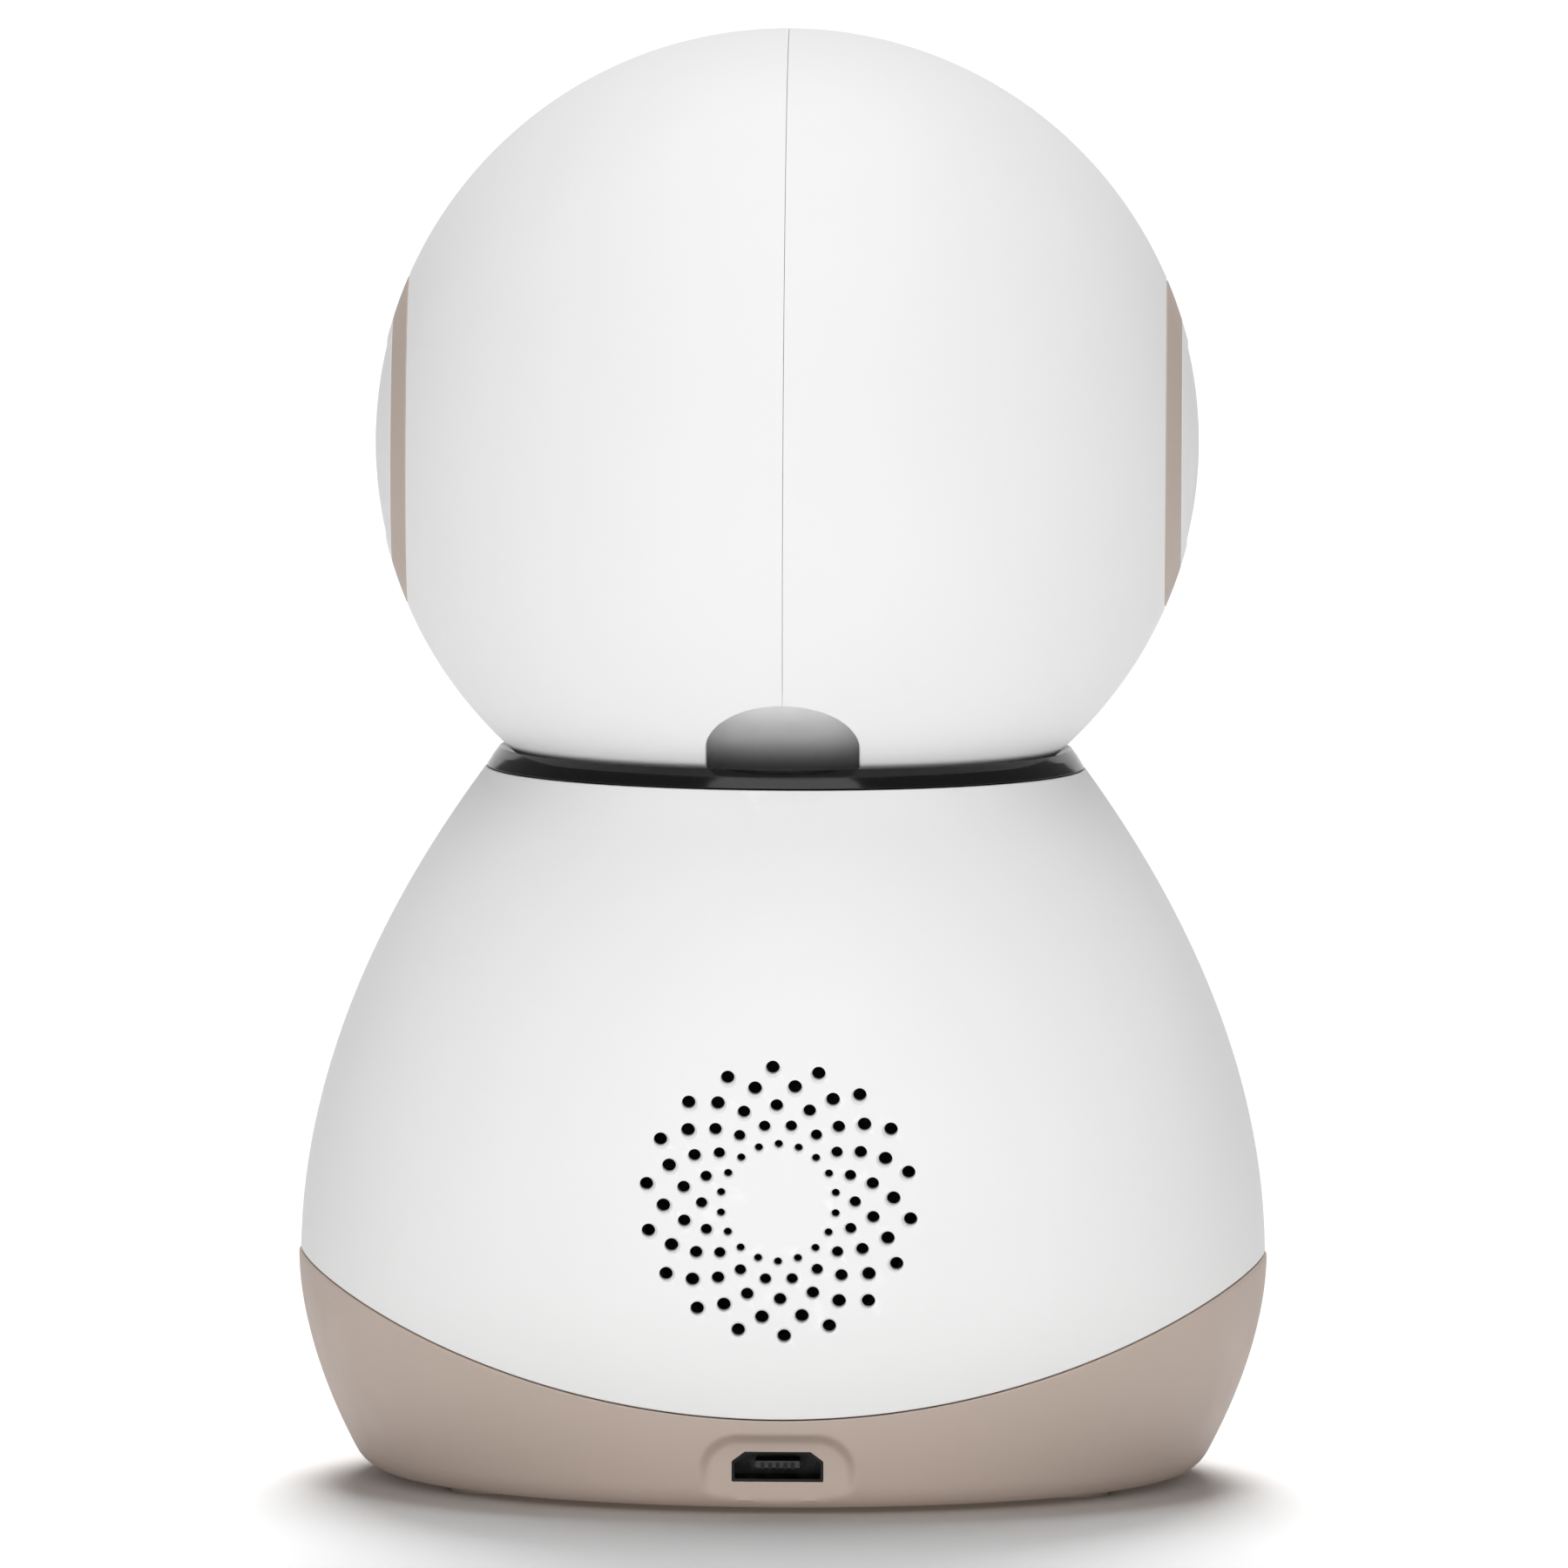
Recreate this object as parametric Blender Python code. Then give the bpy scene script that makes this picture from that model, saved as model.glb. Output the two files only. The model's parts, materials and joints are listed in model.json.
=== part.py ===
"""Baby monitor camera: a ball head that pans and tilts on a bell-shaped base.

Metres in the scene, millimetres in this file. +Z is up, the lens looks along -Y,
and the speaker grille and the power socket are on the +Y side. The feet stand on
z = 0. Pieces of the base and of the turntable are drawn in the object's own
frame, and pieces of the head are drawn about the centre of the ball.
"""

import math

import bmesh
import bpy
from mathutils import Matrix

MM = 0.001
GAP = 0.3  # clearance between neighbouring pieces

# Ball head
BALL_R = 35.9
BALL_Z = 90.1
HEAD_WALL = 2.0
BALL_IN_R = BALL_R - HEAD_WALL
EAR_HOLE_R = 14.25
EAR_CAP_R = 10.6
EAR_FLOOR_X = 33.0
FACE_R = 24.5
FACE_WALL = 1.7
SEGMENTS = 48

# Tilt. Angles are measured downwards from the lens's direction, about the tilt axis.
TILT_UP = 36.0
TILT_DOWN = 13.0
STEM_R = 5.4
STEM_HALF_ANGLE = math.degrees(math.asin(STEM_R / BALL_IN_R))
SLOT_HALF_WIDTH = 6.6
SLOT_BACK = 144.3
SLOT_FRONT = 90.0 - STEM_HALF_ANGLE - TILT_DOWN - 1.5
SHIELD_OUT_R = BALL_IN_R - 0.6
SHIELD_IN_R = SHIELD_OUT_R - 1.5
SHIELD_HALF_WIDTH = 9.0
SHIELD_FRONT = SLOT_FRONT - TILT_UP - 0.8
SHIELD_BACK = SLOT_BACK + TILT_DOWN + 1.5
TILT_BOSS_R = 7.0
TILT_BOSS_X = 7.2
TILT_MOTOR_R = 9.5
TILT_MOTOR_END_X = 22.5
TILT_SHAFT_R = 2.0

# Camera module. Depths are measured forwards from the centre of the ball.
CHASSIS_DEPTH = 13.6
CHASSIS_R = 27.2
CHASSIS_THICK = 2.0
CHASSIS_SCREW_R = 21.0
CHASSIS_SCREW_ANGLE = 40.0
LENS_R = 8.6
LENS_RING_R = 10.4
IR_BOARD_DEPTH = 23.2
IR_LED_CIRCLE_R = 14.5
IR_LED_ANGLE = 30.0

# Base. The outline is two power curves that meet at the widest level.
WIDEST_R = 42.0
WIDEST_Z = 19.2
BODY_TOP_Z = 61.7
TOP_DRAW_IN = 15.9
FOOT_DRAW_IN = 4.7
FOOT_DRAW_IN_DROP = 16.3
CORNER_Z = 2.4
FLOOR_Z = 0.4
WALL = 2.0
TUB_PROUD = 0.15
PARTING_R = 85.0  # the base parts along a wide cylinder that lies front to back
PARTING_LOW_Z = 8.5

# Neck
DISH_IN_R = BALL_R + 0.5
DISH_OUT_R = DISH_IN_R + 1.4
DISH_TOP_Z = 60.0
COLLAR_OUT_R = 26.0
COLLAR_TOP_Z = 63.5
REBATE_R = 25.3
HUB_R = 9.0
HUB_BORE_R = 6.5
HUB_BOTTOM_Z = 38.8

# Pan drive
MODULE = 0.8
GEAR_TEETH = 36
PINION_TEETH = 12
GEAR_Z = (41.0, 45.0)
CENTRE_DISTANCE = MODULE * (GEAR_TEETH + PINION_TEETH) / 2
PLATE_Z = (45.8, 48.0)
PLATE_R = 26.1
PLATE_SCREW_R = 23.2
PLATE_SCREW_ANGLES = (0.0, 90.0, 180.0)
PAN_MOTOR_R = 10.5
PAN_MOTOR_Z = (21.0, 38.5)
PAN_MOTOR_EAR_X = 15.5

# Floor of the base
FOOT_X = 24.4
FOOT_Y = 16.6
FOOT_R = 4.2
BOSS_TOP_Z = 9.6
BOARD_Z = (5.8, 7.4)
BUTTON_Y = -20.0
BUTTON_R = 2.5
BUTTON_TRAVEL = 0.5

# Speaker grille: rings of round holes (radius, hole diameter). Every other ring is turned
# by half a step, and each ring lags a little behind the one inside it.
GRILLE_Z = 27.4
HOLES_PER_RING = 18
GRILLE_STEP = 360.0 / HOLES_PER_RING
GRILLE_LAG = 0.7
GRILLE_RINGS = ((5.0, 0.70), (6.6, 0.98), (8.25, 1.08), (9.9, 1.18), (11.45, 1.16))
SPEAKER_R = 13.5

# Power socket
SOCKET_Z = 4.2
SOCKET_HALF_WIDTH = 3.65
SOCKET_HALF_HEIGHT = 1.1
SOCKET_CHAMFER = 0.8
SOCKET_FRONT_Y = 36.4
SCOOP_Y = 37.0
SCOOP_HALF_WIDTH = 6.65
SCOOP_TOP_Z = 7.0
SCOOP_CORNER_R = 3.2

ALONG_Z = Matrix.Identity(3)
ALONG_X = Matrix(((0, 0, 1), (1, 0, 0), (0, 1, 0)))
ALONG_FRONT = Matrix(((1, 0, 0), (0, 0, -1), (0, 1, 0)))
ALONG_BACK = Matrix(((1, 0, 0), (0, 0, 1), (0, -1, 0)))

FINISHES = {
    "white_plastic": ((0.80, 0.80, 0.79), 0.45, 0.0),
    "taupe_plastic": ((0.40, 0.34, 0.30), 0.50, 0.0),
    "gloss_black": ((0.012, 0.012, 0.013), 0.12, 0.0),
    "dark_plastic": ((0.05, 0.05, 0.055), 0.40, 0.0),
    "satin_grey": ((0.60, 0.60, 0.61), 0.40, 0.4),
    "natural_plastic": ((0.60, 0.58, 0.52), 0.50, 0.0),
    "rubber": ((0.30, 0.25, 0.22), 0.85, 0.0),
    "steel": ((0.62, 0.62, 0.64), 0.30, 1.0),
    "brass": ((0.72, 0.52, 0.25), 0.35, 1.0),
    "circuit_board": ((0.02, 0.16, 0.07), 0.50, 0.0),
    "chip": ((0.02, 0.02, 0.02), 0.45, 0.0),
    "paper_cone": ((0.04, 0.04, 0.04), 0.80, 0.0),
    "led": ((0.75, 0.78, 0.85), 0.10, 0.0),
    "glass": ((0.10, 0.12, 0.20), 0.03, 0.0),
}


def clear_scene():
    for obj in list(bpy.data.objects):
        bpy.data.objects.remove(obj, do_unlink=True)


def polar(radius, degrees):
    angle = math.radians(degrees)
    return radius * math.cos(angle), radius * math.sin(angle)


def steps(low, high, count):
    return [low + (high - low) * i / count for i in range(count + 1)]


def arc(radius, start, end, count):
    """Points (radius from the axis, height) on a sphere about the origin. Angles from the axis."""
    return [
        (radius * math.sin(math.radians(angle)), radius * math.cos(math.radians(angle)))
        for angle in steps(start, end, count)
    ]


def angle_at(radius_from_axis, sphere_radius):
    return math.degrees(math.asin(radius_from_axis / sphere_radius))


# Shapes: each returns a closed bmesh in millimetres


def revolve(profile, segments=SEGMENTS, along=ALONG_Z, at=(0, 0, 0)):
    """Turn a closed outline of (radius, height) points about an axis."""
    bm = bmesh.new()
    rings = []
    for radius, height in profile:
        if radius < 1e-6:
            rings.append([bm.verts.new((0, 0, height))])
            continue
        turns = [polar(radius, 360 * k / segments) for k in range(segments)]
        rings.append([bm.verts.new((x, y, height)) for x, y in turns])
    for ring, following in zip(rings, rings[1:] + rings[:1]):
        for k in range(segments):
            corners = [ring[k % len(ring)], ring[(k + 1) % len(ring)]]
            corners += [following[(k + 1) % len(following)], following[k % len(following)]]
            corners = list(dict.fromkeys(corners))
            if len(corners) > 2:
                bm.faces.new(corners)
    return settle(bm, along, at)


def prism(outline, low, high, along=ALONG_Z, at=(0, 0, 0)):
    """Extrude an outline of (x, y) points from one height to another."""
    bm = bmesh.new()
    bottom = [bm.verts.new((x, y, low)) for x, y in outline]
    top = [bm.verts.new((x, y, high)) for x, y in outline]
    bm.faces.new(bottom)
    bm.faces.new(top)
    for k in range(len(outline)):
        after = (k + 1) % len(outline)
        bm.faces.new((bottom[k], bottom[after], top[after], top[k]))
    return settle(bm, along, at)


def cylinder(radius, low, high, segments=16, along=ALONG_Z, at=(0, 0, 0)):
    outline = [polar(radius, 360 * (k + 0.5) / segments) for k in range(segments)]
    return prism(outline, low, high, along, at)


def box(half_x, half_y, low, high, along=ALONG_Z, at=(0, 0, 0)):
    outline = [(-half_x, -half_y), (half_x, -half_y), (half_x, half_y), (-half_x, half_y)]
    return prism(outline, low, high, along, at)


def settle(bm, along, at):
    bmesh.ops.transform(bm, matrix=along.to_4x4(), verts=bm.verts)
    bmesh.ops.translate(bm, vec=at, verts=bm.verts)
    bmesh.ops.recalc_face_normals(bm, faces=bm.faces)
    return bm


def gathered(shapes):
    """One bmesh that holds several shapes apart from each other."""
    whole = bmesh.new()
    for shape in shapes:
        copies = {vert: whole.verts.new(vert.co) for vert in shape.verts}
        for face in shape.faces:
            whole.faces.new([copies[vert] for vert in face.verts])
        shape.free()
    bmesh.ops.recalc_face_normals(whole, faces=whole.faces)
    return whole


def wrapped(outline, inner, outer):
    """Extrude an outline of (x, tilt angle) points outwards from the tilt axis."""
    bm = bmesh.new()
    layers = []
    for radius in (inner, outer):
        turned = [(x, *polar(-radius, angle)) for x, angle in outline]
        layers.append([bm.verts.new(point) for point in turned])
    count = len(outline)
    half = count // 2
    for layer in layers:
        for k in range(half - 1):
            bm.faces.new((layer[k], layer[k + 1], layer[count - 2 - k], layer[count - 1 - k]))
    for k in range(count):
        after = (k + 1) % count
        bm.faces.new((layers[0][k], layers[0][after], layers[1][after], layers[1][k]))
    return settle(bm, ALONG_Z, (0, 0, 0))


def swept(section, start, end, count):
    """Sweep a section of (radius, x) points about the tilt axis, from one tilt angle to another."""
    bm = bmesh.new()
    loops = []
    for angle in steps(start, end, count):
        loops.append([bm.verts.new((x, *polar(-radius, angle))) for radius, x in section])
    bm.faces.new(loops[0])
    bm.faces.new(loops[-1])
    for loop, following in zip(loops, loops[1:]):
        for k in range(len(section)):
            after = (k + 1) % len(section)
            bm.faces.new((loop[k], loop[after], following[after], following[k]))
    return settle(bm, ALONG_Z, (0, 0, 0))


def round_ended_slot(half_width, start, end):
    """Outline, as (x, tilt angle), of a round-ended slot that runs about the tilt axis."""
    end_turn = math.degrees(half_width / BALL_R)
    rounding = [polar(1.0, turn) for turn in steps(15.0, 75.0, 4)]
    side = []
    for along, across in rounding:
        side.append((half_width * across, start + end_turn * (1 - along)))
    side += [(half_width, angle) for angle in steps(start + end_turn, end - end_turn, 10)]
    for along, across in rounding[::-1]:
        side.append((half_width * across, end - end_turn * (1 - along)))
    return side + [(-x, angle) for x, angle in side[::-1]]


# Objects


def finish_material(name, finish):
    colour, roughness, metallic = FINISHES[finish]
    material = bpy.data.materials.new(name + "_finish")
    material.use_nodes = True
    shader = material.node_tree.nodes["Principled BSDF"]
    shader.inputs["Base Color"].default_value = (*colour, 1.0)
    shader.inputs["Roughness"].default_value = roughness
    shader.inputs["Metallic"].default_value = metallic
    return material


def place(name, bm, finish, parent=None, at=(0, 0, 0)):
    """Make a named node from a shape in millimetres."""
    mesh = bpy.data.meshes.new(name)
    bmesh.ops.scale(bm, vec=(MM, MM, MM), verts=bm.verts)
    bm.to_mesh(mesh)
    bm.free()
    mesh.shade_smooth()
    mesh.set_sharp_from_angle(angle=math.radians(35))
    obj = bpy.data.objects.new(name, mesh)
    bpy.context.scene.collection.objects.link(obj)
    obj.parent = parent
    obj.location = [value * MM for value in at]
    if finish:
        mesh.materials.append(finish_material(name, finish))
    return obj


def combine(target, bm, operation, at=(0, 0, 0)):
    """Add, cut or intersect a node with a hidden helper shape."""
    helper = place(f"{target.name}_{operation.lower()}_{len(target.modifiers)}", bm, None)
    helper.parent = target.parent
    helper.location = [value * MM for value in at]
    helper.hide_render = True
    helper.display_type = "WIRE"
    modifier = target.modifiers.new(helper.name, "BOOLEAN")
    modifier.operation = operation
    modifier.solver = "EXACT"
    modifier.object = helper


def pivot(name, at, parent=None):
    empty = bpy.data.objects.new(name, None)
    bpy.context.scene.collection.objects.link(empty)
    empty.empty_display_size = 0.01
    empty.parent = parent
    empty.location = [value * MM for value in at]
    return empty


def screw_shape(head_r, head_z, shank_r, tip_z, along=ALONG_Z, at=(0, 0, 0)):
    """A screw with its head between the two heights of head_z, and its tip at tip_z."""
    low, high = head_z
    profile = [(0, low), (head_r * 0.9, low), (head_r, high)]
    profile += [(shank_r, high), (shank_r, tip_z), (0, tip_z)]
    return revolve(profile, 10, along, at)


# Base outline


def bell_radius(z):
    if z > WIDEST_Z:
        return WIDEST_R - TOP_DRAW_IN * ((z - WIDEST_Z) / (BODY_TOP_Z - WIDEST_Z)) ** 1.96
    return WIDEST_R - FOOT_DRAW_IN * ((WIDEST_Z - z) / FOOT_DRAW_IN_DROP) ** 1.79


def bottom_corner(count):
    """Points of the rounded corner, from the flat underside up to the side at CORNER_Z."""
    slope = math.atan((bell_radius(CORNER_Z + 0.05) - bell_radius(CORNER_Z - 0.05)) / 0.1)
    radius = (CORNER_Z - FLOOR_Z) / (1 - math.sin(slope))
    centre_r = bell_radius(CORNER_Z) - radius * math.cos(slope)
    centre_z = FLOOR_Z + radius
    turns = steps(90.0, math.degrees(slope), count)
    return [(centre_r + x, centre_z - y) for x, y in (polar(radius, turn) for turn in turns)]


def parting_blank(radius):
    """Everything above the cylinder that parts the base."""
    axis_z = PARTING_LOW_Z + PARTING_R
    outline = []
    for x in steps(-46.0, 46.0, 24):
        outline.append((x, axis_z - math.sqrt(radius**2 - x**2)))
    outline += [(46.0, 70.0), (-46.0, 70.0)]
    turned = [(x, -z) for x, z in outline]
    return prism(turned, -46.0, 46.0, ALONG_BACK)


def tooth_outline(teeth, phase):
    """Trapezoid teeth with backlash. The phase is in tooth steps."""
    root_r = MODULE * teeth / 2 - 1.1
    tip_r = MODULE * teeth / 2 + 0.7
    corners = ((root_r, -0.75), (tip_r, -0.25), (tip_r, 0.25), (root_r, 0.75))
    outline = []
    for tooth in range(teeth):
        centre = 360.0 * (tooth + phase) / teeth
        for radius, across in corners:
            outline.append(polar(radius, centre + math.degrees(across / radius)))
    return outline


def socket_outline(grow):
    """Flat-sided power socket, wide below and chamfered at its top corners."""
    half_width = SOCKET_HALF_WIDTH + grow
    half_height = SOCKET_HALF_HEIGHT + grow
    right = [(half_width, -half_height), (half_width, half_height - SOCKET_CHAMFER)]
    right.append((half_width - SOCKET_CHAMFER, half_height))
    return right + [(-x, z) for x, z in right[::-1]]


def along_y(outline, near_y, far_y, z):
    """Extrude an outline drawn in (x, z) from one y to another."""
    return prism([(x, -height) for x, height in outline], near_y, far_y, ALONG_BACK, (0, 0, z))


# Base pieces


def corner_positions():
    return [(sx * FOOT_X, sy * FOOT_Y) for sx in (-1, 1) for sy in (-1, 1)]


def grille_holes():
    holes = []
    for ring, (radius, diameter) in enumerate(GRILLE_RINGS):
        phase = GRILLE_STEP * (0.5 if ring % 2 == 0 else 1.0) - GRILLE_LAG * ring
        for hole in range(HOLES_PER_RING):
            x, z = polar(-radius, phase + GRILLE_STEP * hole)
            holes.append(cylinder(diameter / 2, 33.0, 45.0, 6, ALONG_BACK, (x, 0, GRILLE_Z + z)))
    return holes


def build_body_shell():
    outer_z = steps(BODY_TOP_Z, WIDEST_Z, 7) + [13.0, 6.0]
    profile = [(bell_radius(z), z) for z in outer_z]
    inner_z = [6.0] + steps(WIDEST_Z, DISH_TOP_Z, 4)
    profile += [(bell_radius(z) - WALL, z) for z in inner_z]
    profile += [(REBATE_R, DISH_TOP_Z), (REBATE_R, BODY_TOP_Z)]
    shell = place("body_shell", revolve(profile), "white_plastic")
    combine(shell, parting_blank(PARTING_R - GAP / 2), "INTERSECT")
    supports = []
    for x, y in corner_positions():
        supports.append(cylinder(3.0, BOSS_TOP_Z + 0.4, 50.0, 12, at=(x, y, 0)))
    for angle in PLATE_SCREW_ANGLES:
        lug = box(4.2, 3.0, PLATE_Z[1] + GAP, 57.3, at=(24.4, 0, 0))
        turn = Matrix.Rotation(math.radians(angle), 3, "Z")
        bmesh.ops.rotate(lug, matrix=turn, verts=lug.verts)
        supports.append(lug)
    combine(shell, gathered(supports), "UNION")
    pocket_in, pocket_out = SPEAKER_R + 0.4, SPEAKER_R + 1.7
    pocket = [(pocket_in, 31.0), (pocket_out, 31.0), (pocket_out, 36.9), (pocket_in, 36.9)]
    combine(shell, revolve(pocket, 24, ALONG_BACK, (0, 0, GRILLE_Z)), "UNION")
    holes = grille_holes()
    holes += [cylinder(1.6, 5.0, 24.0, 8, at=(x, y, 0)) for x, y in corner_positions()]
    for angle in PLATE_SCREW_ANGLES:
        x, y = polar(PLATE_SCREW_R, angle)
        holes.append(cylinder(1.3, 47.0, 55.0, 8, at=(x, y, 0)))
    holes.append(cylinder(1.5, 36.0, 45.0, 12, ALONG_FRONT, (0, 0, 24.0)))
    holes.append(cylinder(0.5, 36.0, 45.0, 8, ALONG_FRONT, (0, 0, 16.0)))
    combine(shell, gathered(holes), "DIFFERENCE")


def build_base_tub():
    profile = [(0, FLOOR_Z)]
    profile += [(radius + TUB_PROUD, z) for radius, z in bottom_corner(3)]
    profile += [(bell_radius(z) + TUB_PROUD, z) for z in (6.0, 10.0, 15.0, 21.0)]
    profile += [(bell_radius(z) - WALL, z) for z in (21.0, 13.0, 5.0)]
    profile += [(bell_radius(CORNER_Z) - WALL - 1.4, CORNER_Z), (0, CORNER_Z)]
    tub = place("base_tub", revolve(profile), "taupe_plastic")
    combine(tub, parting_blank(PARTING_R + GAP / 2), "DIFFERENCE")
    posts = [cylinder(5.0, 1.5, BOSS_TOP_Z, 12, at=(x, y, 0)) for x, y in corner_positions()]
    for x in (-15.0, 15.0):
        for y in (-23.0, 25.0):
            posts.append(cylinder(1.8, 1.5, BOARD_Z[0] - GAP, 8, at=(x, y, 0)))
    combine(tub, gathered(posts), "UNION")
    holes = [cylinder(1.7, 5.0, 12.0, 8, at=(x, y, 0)) for x, y in corner_positions()]
    combine(tub, gathered(holes), "DIFFERENCE")
    wells = []
    for x, y in corner_positions():
        well = [(0, -1), (FOOT_R + GAP, -1), (FOOT_R + GAP, 1.3), (3.2, 1.3), (3.2, 6.4), (0, 6.4)]
        wells.append(revolve(well, 14, at=(x, y, 0)))
    wells.append(cylinder(BUTTON_R + GAP, -1, 4, 16, at=(0, BUTTON_Y, 0)))
    wells.append(along_y(socket_outline(GAP), 30.0, 40.0, SOCKET_Z))
    combine(tub, gathered(wells), "DIFFERENCE")
    corner_x = SCOOP_HALF_WIDTH - SCOOP_CORNER_R
    corner_z = SCOOP_TOP_Z - SCOOP_CORNER_R
    side = [(SCOOP_HALF_WIDTH, -1.0)]
    for x, z in (polar(SCOOP_CORNER_R, turn) for turn in steps(0.0, 90.0, 5)):
        side.append((corner_x + x, corner_z + z))
    scoop = side + [(-x, z) for x, z in side[::-1]]
    combine(tub, along_y(scoop, SCOOP_Y, 45.0, 0.0), "DIFFERENCE")


def build_feet_and_screws():
    for number, (x, y) in enumerate(corner_positions(), 1):
        pad = [(0, 0), (FOOT_R - 0.4, 0), (FOOT_R, 0.4), (FOOT_R, 1.0), (0, 1.0)]
        place(f"foot_pad_{number}", revolve(pad, 16), "rubber", at=(x, y, 0))
        screw = screw_shape(2.8, (4.2, 6.1), 1.2, 21.0)
        place(f"base_screw_{number}", screw, "steel", at=(x, y, 0))


def build_electronics():
    right = [(18.8, -27.0), (18.8, 29.0), (10.0, 34.4)]
    outline = right + [(-x, y) for x, y in right[::-1]]
    place("main_board", prism(outline, *BOARD_Z), "circuit_board")
    can = box(8.0, 7.0, BOARD_Z[1] + GAP, BOARD_Z[1] + 2.3, at=(0, 8.0, 0))
    place("processor_shield", can, "steel")
    shell = along_y(socket_outline(0.0), 31.3, SOCKET_FRONT_Y, SOCKET_Z)
    usb_shell = place("usb_shell", shell, "steel")
    combine(usb_shell, along_y(socket_outline(-0.25), 31.6, 40.0, SOCKET_Z), "DIFFERENCE")
    tongue = box(1.9, 0.3, 31.9, SOCKET_FRONT_Y - 0.6, ALONG_BACK, (0, 0, SOCKET_Z + 0.1))
    place("usb_tongue", tongue, "chip")
    cap = [(0, 0.9), (BUTTON_R, 0.9), (BUTTON_R, 2.7)]
    flange = [(3.6, 2.7), (3.6, 3.3), (1.2, 3.3), (1.2, 4.0), (0, 4.0)]
    place("pair_button", revolve(cap + flange, 12), "dark_plastic", at=(0, BUTTON_Y, 0))
    switch = box(2.6, 2.6, 4.0 + BUTTON_TRAVEL + 0.1, BOARD_Z[0] - GAP)
    place("button_switch", switch, "chip", at=(0, BUTTON_Y, 0))
    place("status_light_guide", cylinder(1.2, 34.0, 41.5, 12, ALONG_FRONT, (0, 0, 24.0)), "led")
    place("microphone", cylinder(2.5, 35.0, 38.6, 16, ALONG_FRONT, (0, 0, 16.0)), "steel")


def build_speaker():
    frame = [(0, 23.5), (7.0, 23.5), (7.0, 28.5), (SPEAKER_R, 31.5), (SPEAKER_R, 34.5)]
    frame += [(12.0, 34.5), (12.0, 33.0), (5.0, 29.8), (0, 29.8)]
    place("speaker_frame", revolve(frame, 20, ALONG_BACK, (0, 0, GRILLE_Z)), "dark_plastic")
    cone = [(0, 30.2), (4.0, 30.2), (11.6, 33.5), (11.6, 34.2), (10.0, 34.6), (4.5, 31.8), (0, 32.6)]
    place("speaker_cone", revolve(cone, 20, ALONG_BACK, (0, 0, GRILLE_Z)), "paper_cone")


def build_pan_drive(pinion_pivot):
    bore_r = HUB_R + 0.4
    bottom, top = PLATE_Z
    disc = [(bore_r, bottom), (PLATE_R, bottom), (PLATE_R, top), (bore_r, top)]
    plate = place("bearing_plate", revolve(disc, 32), "natural_plastic")
    ears = [(side * PAN_MOTOR_EAR_X, -CENTRE_DISTANCE) for side in (-1, 1)]
    posts = [cylinder(2.8, PAN_MOTOR_Z[1] + GAP, 47.0, 12, at=(x, y, 0)) for x, y in ears]
    combine(plate, gathered(posts), "UNION")
    holes = []
    for angle in PLATE_SCREW_ANGLES:
        x, y = polar(PLATE_SCREW_R, angle)
        holes.append(cylinder(1.4, 44.0, 50.0, 10, at=(x, y, 0)))
    combine(plate, gathered(holes), "DIFFERENCE")
    for number, angle in enumerate(PLATE_SCREW_ANGLES, 1):
        x, y = polar(PLATE_SCREW_R, angle)
        shape = screw_shape(2.4, (43.9, PLATE_Z[0] - GAP), 1.0, 54.0)
        place(f"plate_screw_{number}", shape, "steel", at=(x, y, 0))
    low, high = PAN_MOTOR_Z
    can = cylinder(PAN_MOTOR_R, low, high, 24, at=(0, -CENTRE_DISTANCE, 0))
    motor = place("pan_motor", can, "steel")
    ears = box(PAN_MOTOR_EAR_X + 3.0, 3.2, high - 1.2, high, at=(0, -CENTRE_DISTANCE, 0))
    combine(motor, ears, "UNION")
    teeth = prism(tooth_outline(PINION_TEETH, 0.5), *GEAR_Z)
    pinion = place("pan_pinion", teeth, "brass", pinion_pivot)
    combine(pinion, cylinder(1.5, PAN_MOTOR_Z[1] + GAP, 42.0, 12), "UNION")


# Turntable pieces


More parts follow.
